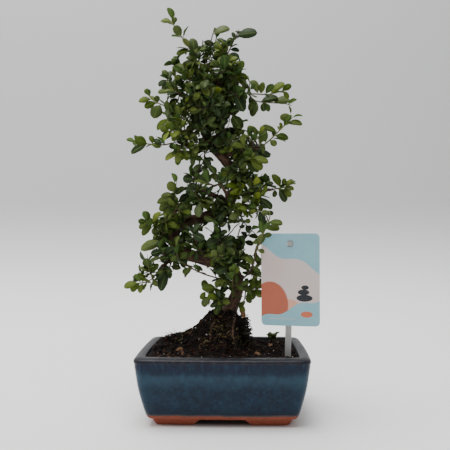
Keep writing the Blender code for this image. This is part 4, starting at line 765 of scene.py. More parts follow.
def pot_finish():
    """Mottled blue glaze that thins to brown at the lip and edges and stops above bare clay, with a painted
    highlight towards its left and right ends and painted shade on its inner wall.
    """
    finish = Finish("blue_glaze", Specular_IOR_Level=0.18)
    here = finish.place()
    height = finish.split(here, 2)
    beside, before = finish.from_pot(here, 0), finish.from_pot(here, 1)
    wave = finish.noise(finish.stretched(here, 1.0, 1.0, 0.0), 16.0, 2.0)
    edge = GLAZE_FOOT - 0.9 + 2.2 * wave
    glazed = (height - edge).step(-0.12, 0.12)
    mottle = finish.noise(here, 5.0, 6.0, 0.68)
    specks = finish.cells(here, 1.3)
    cloud = finish.noise(here, 20.0, 3.0)
    drip = finish.noise(finish.stretched(here, 1.0, 1.0, 0.3), 7.0, 4.0)
    blue = finish.ramp(mottle, (0.30, 0.0018, 0.006, 0.015), (0.5, 0.0035, 0.0135, 0.031),
                       (0.66, 0.007, 0.025, 0.050), (0.85, 0.027, 0.065, 0.098))
    blue = finish.mixed(cloud.step(0.42, 0.68) * 0.45, blue, (0.0055, 0.025, 0.043))
    # Painted highlight: lighter blue towards the pot's left and right ends, where the corners catch the
    # light.
    blue = finish.mixed(beside.step(58.0, 78.0) * 0.45, blue, (0.011, 0.043, 0.075))
    blue = finish.mixed((1.0 - specks.step(0.08, 0.3)) * 0.2, blue, (0.07, 0.12, 0.16))
    band = (height + 5.0 * drip).step(36.0, 48.5) * (1.0 - (height + 7.0 * drip).step(50.0, 54.0))
    blue = finish.mixed(band * (0.1 + 0.7 * mottle), blue, (0.027, 0.068, 0.104))
    streaks = finish.noise(finish.stretched(here, 1.0, 1.0, 0.22), 2.4, 4.0, 0.6)
    under_lip = (height + 6.0 * drip).step(52.0, 57.0)
    navy = finish.ramp(streaks, (0.35, 0.0015, 0.004, 0.016), (0.55, 0.003, 0.011, 0.031),
                       (0.75, 0.011, 0.034, 0.066))
    blue = finish.mixed(under_lip * 0.94, blue, navy)
    foot = 1.0 - (height - 5.0 * drip).step(9.0, 16.0)
    blue = finish.mixed(foot * 0.5, blue, (0.009, 0.012, 0.018))
    lip = (height + 2.0 * drip).step(58.6, 61.4)
    brown = finish.ramp(mottle, (0.3, 0.005, 0.005, 0.008), (0.55, 0.016, 0.014, 0.019),
                        (0.8, 0.07, 0.062, 0.064))
    blue = finish.mixed(lip * 0.85, blue, brown)
    patches = finish.noise(here, 4.0, 5.0, 0.65)
    flat = finish.ramp(patches, (0.36, 0.006, 0.005, 0.005), (0.52, 0.016, 0.017, 0.020),
                       (0.68, 0.058, 0.064, 0.075))
    blue = finish.mixed(height.step(62.6, 63.3), blue, flat)
    # Painted shade: the inner wall above the soil goes near black, where it lies in shade.
    inside = (1.0 - beside.step(70.4, 71.2)) * (1.0 - before.step(52.9, 53.7)) * height.step(44.0, 48.0)
    blue = finish.mixed(inside * 0.9, blue, (0.004, 0.004, 0.005))
    scum = (1.0 - (height - edge).step(0.4, 2.0)) * glazed
    blue = finish.mixed(scum * 0.6, blue, (0.13, 0.085, 0.078))
    clay_grain = finish.noise(here, 1.3, 5.0, 0.65)
    clay = finish.ramp(clay_grain, (0.3, 0.18, 0.043, 0.024), (0.55, 0.27, 0.071, 0.041),
                       (0.8, 0.40, 0.15, 0.10))
    clay = finish.mixed(finish.noise(here, 9.0).step(0.5, 0.75) * 0.35, clay, (0.26, 0.075, 0.045))
    scorch = 1.0 - (edge - height).step(0.2, 1.6)
    clay = finish.mixed(scorch * 0.4, clay, (0.16, 0.06, 0.04))
    grit = finish.cells(here, 1.6).step(0.05, 0.2)
    clay = finish.mixed((1.0 - grit) * 0.4, clay, (0.12, 0.045, 0.028))
    relief = glazed * (0.6 + 0.3 * mottle) + (1.0 - glazed) * 0.45 * clay_grain
    return finish.feed(
        Base_Color=finish.mixed(glazed, clay, blue),
        Roughness=glazed * (0.16 + 0.14 * mottle + 0.2 * lip) + (1.0 - glazed) * 0.86,
        Coat_Weight=glazed * 0.04,
        Normal=finish.bump(relief, 0.45, 0.5),
    )


def label_finish():
    """Satin card printed with rounded hills on the left, a lagoon on the right and stacked pebbles."""
    finish = Finish("printed_card", Specular_IOR_Level=0.3)
    here = finish.place()
    middle = TO_FRAME @ Vector((CARD_X, CARD_Y, CARD_MIDDLE)) / MM
    across_way = (math.cos(CARD_YAW), math.sin(CARD_YAW), 0.0)
    outward = (math.sin(CARD_YAW), -math.cos(CARD_YAW), 0.0)
    local = finish.node("VectorMath", {"operation": "SUBTRACT"}, here, tuple(middle))
    u = finish.node("VectorMath", {"operation": "DOT_PRODUCT"}, local, across_way, out=1)
    out = finish.node("VectorMath", {"operation": "DOT_PRODUCT"}, local, outward, out=1)
    v = finish.split(local, 2)
    front = out.step(0.1, 0.3)
    paper, beige, slate = (0.60, 0.505, 0.48), (0.66, 0.44, 0.33), (0.016, 0.019, 0.024)

    def oval(x, z, half_x, half_z):
        """1 inside an oval and 0 outside it."""
        return 1.0 - (((u - x) / half_x) ** 2.0 + ((v - z) / half_z) ** 2.0).step(0.94, 1.06)

    def above(start, slope, rise, pitch):
        """1 above a sloping wave and 0 below it."""
        wave = rise * finish.maths("SINE", u * pitch)
        return (v - start - slope * u - wave).step(0.0, 0.3)

    def hatched(coordinate, dark, light):
        """Stripes of two colours across this direction."""
        lines = finish.maths("PINGPONG", coordinate, 0.9).step(0.25, 0.5)
        return finish.mixed(lines, dark, light)

    water = finish.mixed(finish.noise(here, 12.0, 2.0), (0.21, 0.43, 0.50), (0.27, 0.49, 0.54))
    printed = finish.mixed(above(19.0, -0.42, 3.0, 0.16), paper, water)
    for radius in (8.0, 5.2, 2.4):
        ring = oval(-14.0, 10.0, radius, radius) - oval(-14.0, 10.0, radius - 0.5, radius - 0.5)
        printed = finish.mixed(ring * 0.7, printed, beige)
    printed = finish.mixed(oval(-3.0, -31.0, 15.0, 13.0), printed, (0.68, 0.36, 0.25))
    hill = hatched(u + v, (0.32, 0.09, 0.055), (0.50, 0.13, 0.07))
    printed = finish.mixed(oval(-19.0, -24.0, 17.0, 22.0), printed, hill)
    printed = finish.mixed(1.0 - above(-27.0, 0.35, 2.2, 0.2), printed, water)
    pebbles = oval(13.0, -17.0, 7.4, 3.2) + oval(12.2, -11.6, 5.3, 2.6) + oval(13.6, -7.2, 3.5, 2.0)
    printed = finish.mixed(pebbles, printed, slate)
    printed = finish.mixed(oval(15.0, -32.0, 5.4, 2.8), printed, (0.56, 0.145, 0.075))
    rule = (1.0 - abs(v + 36.5).step(0.25, 0.45)) * (1.0 - abs(u + 8.0).step(12.0, 12.2))
    printed = finish.mixed(rule * 0.7, printed, paper)
    back = finish.mixed(1.0 - abs(abs(u) - 22.0).step(0.2, 0.4), paper, (0.5, 0.44, 0.42))
    colour = finish.mixed(front, back, printed)
    fibre = finish.noise(here, 0.8, 3.0)
    colour = finish.mixed(fibre.step(0.4, 0.8) * 0.08, colour, (0.35, 0.33, 0.32))
    return finish.feed(Base_Color=colour, Roughness=0.38 + 0.12 * fibre, Normal=finish.bump(fibre, 0.03))


def stake_finish():
    """Frosted grey plastic that lets some light through."""
    finish = Finish("frosted_plastic", IOR=1.46, Transmission_Weight=0.35)
    frost = finish.noise(finish.place(), 0.7, 3.0)
    colour = finish.mixed(frost, (0.33, 0.33, 0.32), (0.43, 0.43, 0.42))
    return finish.feed(Base_Color=colour, Roughness=0.34 + 0.2 * frost, Normal=finish.bump(frost, 0.04))


# Stage, light and eye


def stage_finish():
    """Pale paper, darker higher up the wall as painted shade, and a painted shadow where the pot hides the
    table from the light.
    """
    finish = Finish("studio_paper", Roughness=0.9)
    here = finish.place()
    # Painted shade: the paper darkens higher up the wall, where less light falls on it.
    paper = finish.mixed(finish.split(here, 2).step(0.0, 260.0), (0.93, 0.93, 0.92), (0.55, 0.555, 0.55))
    paper = finish.mixed(finish.noise(here, 300.0) * 0.06, paper, (0.66, 0.66, 0.66))
    beside, before = finish.from_pot(here, 0), finish.from_pot(here, 1)
    # Painted shadow: the table goes dark under the pot, where the pot hides it from the light.
    painted_pot_shadow = (1.0 - beside.step(50.0, 66.0)) * (1.0 - before.step(38.0, 50.0))
    return finish.feed(Base_Color=finish.mixed(painted_pot_shadow * 0.93, paper, (0.10, 0.075, 0.06)))


def build_stage():
    """One sheet of paper: the table, then a curve up to the wall."""
    half_width, front, bend_start, bend_radius, wall_top = 1600.0, -900.0, 420.0, 260.0, 1500.0
    bm = bmesh.new()
    edge = [bm.verts.new((-half_width, y, 0)) for y in (front, bend_start)]
    bm.edges.new(edge)
    spun = bmesh.ops.spin(bm, geom=[edge[1]], cent=(-half_width, bend_start, bend_radius), axis=(1, 0, 0),
                          angle=math.pi / 2, steps=16)
    last = points_in(spun["geom_last"])[0]
    top = bmesh.ops.extrude_vert_indiv(bm, verts=[last])["verts"][0]
    top.co.z = wall_top
    swept = bmesh.ops.extrude_edge_only(bm, edges=bm.edges[:])["geom"]
    bmesh.ops.translate(bm, vec=(half_width * 2, 0, 0), verts=points_in(swept))
    bmesh.ops.recalc_face_normals(bm, faces=bm.faces)
    if sum(face.normal.z for face in bm.faces) < 0:
        bmesh.ops.reverse_faces(bm, faces=bm.faces)
    sheet = finished(bm, "studio_sheet", [stage_finish()])


def add_light(name, place, target, size, power):
    """A white area light of this width and height that points at the target; the power is in watts."""
    lamp = bpy.data.lights.new(name, "AREA")
    lamp.shape = "RECTANGLE"
    lamp.size, lamp.size_y = size[0] * MM, size[1] * MM
    lamp.energy = power
    holder = bpy.data.objects.new(name, lamp)
    bpy.context.scene.collection.objects.link(holder)
    start, end = TO_FRAME @ Vector(place), TO_FRAME @ Vector(target)
    aim = (end - start).to_track_quat("-Z", "Y").to_matrix().to_4x4()
    holder.matrix_world = Matrix.Translation(start) @ aim


def build_light():
    """Daylight from above and in front, a little from the left, and faint light on the wall."""
    middle = (0, 0, 150)
    add_light("overhead", (-300, -150, 2300), (0, 0, 0), (1800, 1500), 78.0)
    add_light("room_front", (300, -1900, 1000), middle, (1800, 1300), 9.0)
    add_light("window_left", (-1300, -300, 800), middle, (800, 800), 5.0)
    add_light("wall_wash", (0, 350, 1250), (0, 800, 100), (1600, 400), 1.5)
    world = bpy.data.worlds.new("studio_air")
    world.use_nodes = True
    sky = world.node_tree.nodes["Background"].inputs
    sky["Color"].default_value = (0.93, 0.96, 1.0, 1.0)
    sky["Strength"].default_value = 0.2
    bpy.context.scene.world = world


def build_camera():
    """The photograph's eye: turned a little to the left and up."""
    half = PHOTO_SIDE_PX / 2
    left = math.atan((AHEAD_PX[0] - half) / FOCAL_PX)
    up = math.atan((AHEAD_PX[1] - half) / FOCAL_PX)
    lens = bpy.data.cameras.new("eye")
    lens.sensor_width = SENSOR
    lens.lens = FOCAL_PX / PHOTO_SIDE_PX * SENSOR
    lens.clip_start = 0.01
    eye = bpy.data.objects.new("eye", lens)
    eye.matrix_world = (Matrix.Translation(TO_FRAME @ EYE) @ Matrix.Rotation(left, 4, "Z")
                        @ Matrix.Rotation(math.pi / 2 + up, 4, "X"))
    bpy.context.scene.collection.objects.link(eye)
    bpy.context.scene.camera = eye


# Pot

PLAN_CORNER_STEPS = 10
PLAN_SIDE_POINTS = 14
EDGE_DEGREES = 32  # edges that bend more than this stay sharp


def plan_size(inset):
    """Half width, half depth and corner radius of the pot's plan at this inset."""
    return POT_WIDTH / 2 - inset, POT_DEPTH / 2 - inset, max(POT_CORNER - inset * CORNER_LOSS, LEAST_CORNER)


def plan_ring(inset):
    """Points of the pot's plan at this inset, a rounded rectangle with slightly bowed sides."""
    half_x, half_y, radius = plan_size(inset)
    corners = ((1, -1, -90), (1, 1, 0), (-1, 1, 90), (-1, -1, 180))
    outline = []
    for order, (sign_x, sign_y, start) in enumerate(corners):
        middle = Vector((sign_x * (half_x - radius), sign_y * (half_y - radius)))
        for step in range(PLAN_CORNER_STEPS + 1):
            turn = math.radians(start + 90 * step / PLAN_CORNER_STEPS)
            outline.append(middle + radius * Vector((math.cos(turn), math.sin(turn))))
        next_x, next_y, next_start = corners[(order + 1) % 4]
        turn = math.radians(next_start)
        outward = Vector((math.cos(turn), math.sin(turn)))
        goal = Vector((next_x * (half_x - radius), next_y * (half_y - radius))) + radius * outward
        corner_end = outline[-1].copy()
        for step in range(1, PLAN_SIDE_POINTS + 1):
            share = step / (PLAN_SIDE_POINTS + 1)
            bow = POT_BULGE * 4 * share * (1 - share)
            outline.append(corner_end.lerp(goal, share) + outward * bow)
    return outline


def loop_at(bm, points):
    """A closed loop of edges through the points."""
    corners = [bm.verts.new(point) for point in points]
    return [bm.edges.new((corner, corners[order - 1])) for order, corner in enumerate(corners)]


def plan_loops(bm, rings):
    """The plan's outline as a loop of edges, for each of the rings' (height, inset) pairs."""
    return [loop_at(bm, [(*point, height) for point in plan_ring(inset)]) for height, inset in rings]


def bridged(bm, loops):
    """Faces from each loop to the next."""
    for low, high in zip(loops, loops[1:]):
        bmesh.ops.bridge_loops(bm, edges=low + high)


def lofted(bm, rings):
    """A closed skin over the plan's rings, each a (height, inset) pair."""
    loops = plan_loops(bm, rings)
    bridged(bm, loops)
    for loop in (loops[0], loops[-1]):
        bmesh.ops.contextual_create(bm, geom=loop)
    bmesh.ops.recalc_face_normals(bm, faces=bm.faces)


def softened(profile, steps):
    """The profile's (height, inset) pairs, rounded off by a smooth curve through them."""
    points = smooth_route([Vector((height, inset, 0)) for height, inset in profile], steps)
    return [(point.x, point.y) for point in points]


def build_pot(finish):
    """The fired body with a rolled rim, and its four feet."""
    bm = bmesh.new()
    lofted(bm, [*softened(POT_WALL, 4), *POT_LIP, *POT_RIM, *POT_INSIDE])
    body = made_object(bm, "pot_body")
    cutters = []
    for x in (-DRAIN_X, DRAIN_X):
        bm = bmesh.new()
        bmesh.ops.create_cone(bm, cap_ends=True, segments=32, radius1=DRAIN_RADIUS, radius2=DRAIN_RADIUS,
                              depth=FLOOR_HEIGHT * 2, matrix=Matrix.Translation((x, 0, FLOOR_HEIGHT)))
        cutters.append(made_object(bm, "drain"))
    joined(body, [build_foot_ring()], "UNION")
    joined(body, cutters, "DIFFERENCE")
    bm = bmesh.new()
    bm.from_mesh(body.data)
    bpy.data.objects.remove(body)
    return piece_from(bm, "pot_glazed", [finish], ["pot"], EDGE_DEGREES)


def joined(base, others, operation):
    """Applies one Boolean of base with all the others, which are then removed."""
    group = bpy.data.collections.new("working")
    for other in others:
        group.objects.link(other)
    boolean = base.modifiers.new("join", "BOOLEAN")
    boolean.operation = operation
    boolean.operand_type = "COLLECTION"
    boolean.collection = group
    boolean.solver = "EXACT"
    mesh = evaluated(base)
    base.modifiers.remove(boolean)
    base.data = mesh
    for other in others:
        bpy.data.objects.remove(other)
    bpy.data.collections.remove(group)


def build_foot_ring():
    """A sloping ring under the body, with an arch cut through each side to leave four feet."""
    top = FOOT_HEIGHT + FOOT_IN_BODY
    bm = bmesh.new()
    loops = plan_loops(bm, ((0.0, FOOT_TOE), (top, FOOT_OUTER), (top, FOOT_INNER), (0.0, FOOT_INNER)))
    bridged(bm, [*loops, loops[0]])
    bmesh.ops.recalc_face_normals(bm, faces=bm.faces)
    toes = [edge for edge in bm.edges if all(vert.co.z < 0.01 for vert in edge.verts)
            and len(edge.link_faces) == 2 and edge.calc_face_angle() > 0.5]
    bmesh.ops.bevel(bm, geom=toes, offset=TOE_BEVEL, offset_type="OFFSET", segments=3, profile=0.5,
                    affect="EDGES", material=-1)
    ring = made_object(bm, "foot_ring")
    above = FOOT_HEIGHT + ARCH_OVER
    for through_x, top, bottom, reach in ((False, ARCH_HALF_TOP[0], ARCH_HALF_BOTTOM[0], POT_DEPTH),
                                          (True, ARCH_HALF_TOP[1], ARCH_HALF_BOTTOM[1], POT_WIDTH)):
        flare = bottom + ARCH_FLARE
        outline = [(-flare, -1), (flare, -1), (bottom, ARCH_STEP), (top, above), (-top, above),
                   (-bottom, ARCH_STEP)]
        bm = bmesh.new()
        corners = [(-reach, u, v) if through_x else (u, -reach, v) for u, v in outline]
        face = bm.faces.new([bm.verts.new(corner) for corner in corners])
        swept = bmesh.ops.extrude_face_region(bm, geom=[face])["geom"]
        along = (2 * reach, 0, 0) if through_x else (0, 2 * reach, 0)
        bmesh.ops.translate(bm, vec=along, verts=points_in(swept))
        bmesh.ops.recalc_face_normals(bm, faces=bm.faces)
        joined(ring, [made_object(bm, "arch")], "DIFFERENCE")
    return ring


# Rods, the trunk, its boughs and roots

TRUNK_SWELL = 0.07  # unevenness of the trunk's radius, and over what length
SWELL_LENGTH = 11
WOOD_STEPS = 4
ROOT_STEPS = 6
ROOT_START = 3.0
ROOT_BEND = 0.25
ROOT_RADIUS = 3.4
ROOT_TAPER = 2.0
ROOT_DIVE = 4.0
ROOT_LOWERED = 0.5  # how much deeper than in the solids, in radii
ROOT_THINNED = 0.8  # its radius beside that in the solids


def rod(bm, route, radii, sides, ages=None):
    """A tapering rod: a disc's rim extruded from point to point of the route, then closed.

    Ages, one for each point, go to the youth layer.
    """
    across = (route[1] - route[0]).orthogonal().normalized()
    youth = bm.verts.layers.float.get("youth")
    before, faces = None, []
    for place, point in enumerate(route):
        ahead = (route[min(place + 1, len(route) - 1)] - route[max(place - 1, 0)]).normalized()
        across = (across - ahead * across.dot(ahead)).normalized()
        turn = Matrix((across, ahead.cross(across), ahead)).transposed().to_4x4()
        now = Matrix.Translation(point) @ turn @ Matrix.Scale(radii[place], 4)
        if before is None:
            ring = bmesh.ops.create_circle(bm, cap_ends=True, segments=sides, radius=1.0, matrix=now)["verts"]
            edges = ring[0].link_faces[0].edges[:]
            faces.append(ring[0].link_faces[0])
        else:
            swept = bmesh.ops.extrude_edge_only(bm, edges=edges)["geom"]
            ring = points_in(swept)
            faces += [item for item in swept if isinstance(item, bmesh.types.BMFace)]
            edges = [item for item in swept if isinstance(item, bmesh.types.BMEdge)
                     and all(vert in ring for vert in item.verts)]
            bmesh.ops.transform(bm, matrix=now @ before.inverted(), verts=ring)
        if ages:
            for vert in ring:
                vert[youth] = ages[place]
        before = now
    faces += bmesh.ops.contextual_create(bm, geom=edges)["faces"]
    bmesh.ops.recalc_face_normals(bm, faces=faces)
    return faces


def poured(whole, part):
    """Moves everything of a small bmesh into the whole one, because operators are slow in a large one."""
    mesh = bpy.data.meshes.new("poured")
    part.to_mesh(mesh)
    part.free()
    whole.from_mesh(mesh)
    bpy.data.meshes.remove(mesh)


def layered(*names):
    """A bmesh whose points carry these numbers, and whose faces may carry a blade's print."""
    bm = bmesh.new()
    for name in names:
        bm.verts.layers.float.new(name)
    bm.loops.layers.uv.new("blade")
    return bm


def add_rod(whole, route, radii, sides, finish_index=0, **numbers):
    """A rod in the whole bmesh. Each number is one value for all its points, or one for each ring."""
    part = layered(*whole.verts.layers.float.keys())
    rod(part, route, radii, sides, numbers.pop("youth", None))
    for name, value in numbers.items():
        layer = part.verts.layers.float[name]
        for vert in part.verts:
            vert[layer] = value
    for face in part.faces:
        face.material_index = finish_index
    poured(whole, part)


def wood_rods():
    """The trunk, boughs and surface roots as (route, radii)."""
    rods = []
    for row in (TRUNK, *BOUGHS):
        route = smooth_route([seen(x, z, y) for x, z, y, _ in row], WOOD_STEPS)
        rods.append((route, blended([radius for *_, radius in row], WOOD_STEPS)))
    route, radii = rods[0]
    swells = [1 + TRUNK_SWELL * noise.noise(point / SWELL_LENGTH) for point in route]
    rods[0] = (route, [radius * swell for radius, swell in zip(radii, swells)])
    for heading, length in ROOTS:
        route, radii = root_route(heading, length)
        route = [point - UP * ROOT_LOWERED * radius for point, radius in zip(route, radii)]
        rods.append((smooth_route(route, 3), blended([ROOT_THINNED * radius for radius in radii], 3)))
    return rods


def root_route(heading, length):
    """A root that leaves the trunk's foot, follows the mound half sunk and dives at its end."""
    turn = math.radians(heading)
    route, radii = [], []
    for step in range(ROOT_STEPS + 1):
        share = step / ROOT_STEPS
        bend = ROOT_BEND * math.sin(share * 5 + heading)
        x, y = round_mound(ROOT_START + length * share, turn + bend)
        radius = ROOT_RADIUS - ROOT_TAPER * share
        sunk = 0.3 * radius if step < ROOT_STEPS else ROOT_DIVE
        route.append(Vector((x, y, soil_height(x, y) - sunk)))
        radii.append(radius)
    route[0].z -= ROOT_DIVE / 2
    return route, radii


def coarse_routes():
    """The wood's routes as the solids have them."""
    routes = [smooth_route([seen(x, z, y) for x, z, y, _ in TRUNK], 2)]
    routes += [smooth_route([seen(x, z, y) for x, z, y, _ in bough], 1) for bough in BOUGHS]
    return routes + [root_route(heading, length)[0] for heading, length in ROOTS]


WOOD_VOXEL = 0.62
KNOTS = 16  # swellings on the trunk
KNOT_SIZES = (0.28, 0.42)  # their radius, as a share of the trunk's
KNOT_OUT = 0.78  # their place out from its middle, as a share of its radius
BARK_RELIEF = 0.42
RIDGES_ROUND = 0.55  # how closely the bark's ridges lie, round the wood
RIDGES_ALONG = 0.16  # and along it
PIT_SIZE = 1.6


def build_wood(finish):
    """The trunk, boughs and surface roots grown into one skin, with long cracks in the bark."""
    bm = bmesh.new()
    rods = wood_rods()
    for route, radii in rods:
        rod(bm, route, radii, 14)
    chance = random.Random(31)
    route, radii = rods[0]
    for _ in range(KNOTS):
        place = chance.randrange(6, len(route) - 8)
        out = Vector([chance.uniform(-1, 1) for _ in range(3)]).normalized()
        size = radii[place] * chance.uniform(*KNOT_SIZES)
        spot = Matrix.Translation(route[place] + out * radii[place] * KNOT_OUT) @ Matrix.Scale(size, 4)
        bmesh.ops.create_icosphere(bm, subdivisions=2, radius=1.0, matrix=spot)
    working = made_object(bm, "wood_working")
    remesh = working.modifiers.new("grown_together", "REMESH")
    remesh.mode = "VOXEL"
    remesh.voxel_size = WOOD_VOXEL
    bm = bmesh.new()
    bm.from_mesh(evaluated(working))
    bpy.data.objects.remove(working)
    bmesh.ops.smooth_vert(bm, verts=bm.verts, factor=0.5, use_axis_x=True, use_axis_y=True, use_axis_z=True)
    crack_bark(bm, rods)
    return piece_from(bm, "trunk_bark", [finish], ["trunk"])


def crack_bark(bm, rods):
    """Moves the skin in and out in ridges that run along the wood."""
    stations = []
    for number, (route, radii) in enumerate(rods):
        run = 0.0
        across = Vector((0.36, 0.48, 0.8))
        for order, point in enumerate(route):
            following = route[min(order + 1, len(route) - 1)]
            ahead = (following - route[max(order - 1, 0)]).normalized()
            across = (across - ahead * across.dot(ahead)).normalized()
            stations.append((point, across.copy(), ahead.cross(across), run + number * 97, radii[order]))
            run += (following - point).length
    nearest = KDTree(len(stations))
    for order, station in enumerate(stations):
        nearest.insert(station[0], order)
    nearest.balance()
    crack = bm.verts.layers.float.new("crack")
    bm.normal_update()
    moves = []
    for vert in bm.verts:
        _, order, _ = nearest.find(vert.co)
        point, across, over, run, radius = stations[order]
        out = vert.co - point
        turn = math.atan2(out.dot(over), out.dot(across))
        around = max(radius, 2.0) * RIDGES_ROUND
        along = (run + out.dot(across.cross(over))) * RIDGES_ALONG
        ridge = noise.noise(Vector((math.cos(turn) * around, math.sin(turn) * around, along)))
        ridge += 0.5 * noise.noise(vert.co / PIT_SIZE)
        gully = max(0.0, -ridge)
        share = min(1.0, radius / 4.0)
        vert[crack] = min(1.0, gully * 2.2)
        moves.append((vert, vert.normal * (ridge * BARK_RELIEF * share)))
    for vert, move in moves:
        vert.co += move


# Leaves and sprays, by the rules the CAD model grew them with


def leaf_half_width(along):
    """Half the blade's width at this share of the leaf's length, as a share of its widest half."""
    if along <= LEAF_STALK or along >= 1:
        return 0.0
    share = (along - LEAF_STALK) / (1 - LEAF_STALK)
    return math.sin(math.pi * share**0.9) ** 0.75


def leaf_point(leaf, along, across):
    """A point of the blade, from 0 at the stalk to 1 at the tip, and -1 to 1 from edge to edge."""
    axis = leaf.tip - leaf.base
    side = axis.cross(leaf.face).normalized()
    half = leaf.width / 2 * leaf_half_width(along)
    lift = leaf.arch * axis.length * 4 * along * (1 - along) + leaf.fold * half * abs(across)
    return leaf.base + axis * along + side * half * across + leaf.face * lift


LEAF_STATIONS = (0.36, 0.76)
RIB_STATION = 0.5
LEAF_MARGIN = 0.55  # clear space between a leaf and another spray


def leaf_skin(leaf, swell=0.0):
    """Points and faces of a blade that is thick at the rib and thins to its edge."""
    wide = leaf._replace(width=leaf.width + 2 * swell)
    stretch = (leaf.tip - leaf.base).normalized() * swell
    points = [leaf.base, *(leaf_point(wide, along, 1) for along in LEAF_STATIONS), leaf.tip + stretch,
              *(leaf_point(wide, along, -1) for along in reversed(LEAF_STATIONS))]
    count = len(points)
    rib = leaf_point(leaf, RIB_STATION, 0)
    half = leaf.face * (LEAF_THICK / 2 + swell)
    points += [rib + half, rib - half]
    faces = []
    for order in range(count):
        following = (order + 1) % count
        faces.append((following, order, count))
        faces.append((order, following, count + 1))
    return points, faces


def faced(axis, wish):
    """The unit vector across the axis that comes nearest to the wish."""
    flat = wish - axis * wish.dot(axis)
    if flat.length < 1e-6:
        flat = axis.orthogonal()
    return flat.normalized()


def nearest_on(routes, target):
    """The point of the routes that covers the target best for the eye."""
    best = None
    for route in routes:
        for start, end in zip(route, route[1:]):
            for share in (0.1, 0.3, 0.5, 0.7, 0.85):
                point = start.lerp(end, share)
                away = (seen(*target, point.y) - point).length
                if best is None or away < best[0]:
                    best = (away, point)
    return best[1]


def drawn_leaf(chance, routes, row, attempt):
    """A leaf that shows from the front as its row says; each attempt swings it in depth."""
    base_x, base_z, tip_x, tip_z, shown = row
    base = nearest_on(routes, (base_x, base_z))
    length = math.hypot(tip_x - base_x, tip_z - base_z)
    swing = chance.uniform(-0.3, 0.3) * length + (attempt + 1) // 2 * (-1) ** attempt * 2.0
    tip = seen(tip_x, tip_z, base.y + swing)
    axis = (tip - base).normalized()
    width = max(shown, LEAF_SHARE * (tip - base).length)
    turn = TURN_KEPT * math.acos(min(1.0, shown / width))
    towards_eye = faced(axis, Vector((0, -1, 0)))
    beside = axis.cross(towards_eye)
    if beside.z < 0:
        beside = -beside
    face = towards_eye * math.cos(turn) + beside * math.sin(turn)
    return Leaf(base, tip, face.normalized(), width, chance.uniform(0.03, 0.1), chance.uniform(0.05, 0.3))


def turned_from(ahead, turn):
    """The direction across the heading that is turned this far from straight up."""
    across = faced(ahead, UP)
    return across * math.cos(turn) + ahead.cross(across) * math.sin(turn)


def grown_leaf(chance, routes, order, count, loose, attempt):
    """A leaf that grows by rule: leaves turn about the shoot by the golden angle."""
    spans = [(start, end) for route in routes for start, end in zip(route, route[1:])][1:]
    total = sum((end - start).length for start, end in spans)
    wanted = total * (order + chance.uniform(0.3, 0.9)) / count
    for start, end in spans:
        step = (end - start).length
        if wanted <= step:
            break
        wanted -= step
    base = start.lerp(end, min(0.9, max(0.1, wanted / step)))
    ahead = (end - start).normalized()
    radial = turned_from(ahead, GOLDEN_ANGLE * order + chance.uniform(-0.5, 0.5) + attempt * 0.9)
    if not loose:
        radial = Vector((radial.x * 0.4, radial.y * 1.4 + math.copysign(0.3, radial.y), radial.z * 0.4))
        radial.normalize()
    lean = math.radians(chance.uniform(35, 75))
    axis = (ahead * math.cos(lean) + radial * math.sin(lean) + Vector((0, 0, 0.22))).normalized()
    length = LEAF_LENGTH * chance.uniform(0.72, 1.2) * (1 - 0.04 * attempt)
    wish = Vector((chance.uniform(-0.5, 0.5), chance.uniform(-0.7, 0.3), 1)) + radial * -0.2
    width = LEAF_SHARE * length * chance.uniform(0.9, 1.15)
    return Leaf(base, base + axis * length, faced(axis, wish), width, chance.uniform(0.02, 0.1),
                chance.uniform(0.1, 0.4))


def held_off(point, wood, clearance):
    """The point, moved straight away from the wood's surface if it is nearer than the clearance."""
    surface, normal, _, away = wood.find_nearest(point)
    if (point - surface).dot(normal) >= clearance:
        return point
    return surface + normal * clearance


def spray_routes(rows, wood, rod_lines):
    """The shoots' smooth routes. The first starts just clear of the wood, the others in the first."""
    routes = []
    for number, row in enumerate(rows):
        points = [seen(*place) for place in row]
        if number == 0:
            centre = min((intersect_point_line(points[0], a, b)[0] for a, b in rod_lines
                          if 0 <= intersect_point_line(points[0], a, b)[1] <= 1),
                         key=lambda spot: (spot - points[0]).length)
            inward = (centre - points[1]).normalized()
            surface = wood.ray_cast(points[1], inward)[0]
            points[0] = surface - inward * GAP
        else:
            points[0] = min(routes[0], key=lambda spot: (spot - points[0]).length)
        route = smooth_route(points, 2 if len(points) < 4 else 1 + (number == 0))
        first = SHOOT_START + GAP if number == 0 else TWIG_RADIUS + GAP
        clearances = [first, *[TWIG_RADIUS + GAP] * (len(route) - 1)]
        routes.append([held_off(point, wood, clear) for point, clear in zip(route, clearances)])
    return routes


def shoot_radii(route, first):
    """A shoot tapers to its tip; the first also narrows to a point where it meets the wood."""
    radii = [TWIG_RADIUS * (1 - 0.4 * order / (len(route) - 1)) for order in range(len(route))]
    if first:
        radii[0] = SHOOT_START
    return radii


class Crowd:
    """The leaves placed so far, with what they must stay clear of."""

    def __init__(self, fixed):
        self.fixed = fixed
        self.placed = []
        self.twigs = {}
        self.margin = LEAF_MARGIN

    def is_clear(self, owner, leaf):
        """True where the leaf keeps off the fixed pieces, other sprays and all the leaves."""
        loose_skin = BVHTree.FromPolygons(*leaf_skin(leaf, self.margin))
        others = [*self.fixed, *(tree for name, tree in self.twigs.items() if name != owner)]
        if any(loose_skin.overlap(tree) for tree in others):
            return False
        tight_skin = BVHTree.FromPolygons(*leaf_skin(leaf))
        middle, reach = self.ball(leaf)
        for name, other, other_middle, other_reach in self.placed:
            if (middle - other_middle).length > reach + other_reach:
                continue
            if (tight_skin if name == owner else loose_skin).overlap(other):
                return False
        return True

    def add(self, owner, leaf):
        self.placed.append((owner, BVHTree.FromPolygons(*leaf_skin(leaf)), *self.ball(leaf)))

    def ball(self, leaf):
        """Middle and radius of a ball that holds the leaf."""
        return (leaf.base + leaf.tip) / 2, (leaf.tip - leaf.base).length / 2 + 1.5


ATTEMPTS = 9


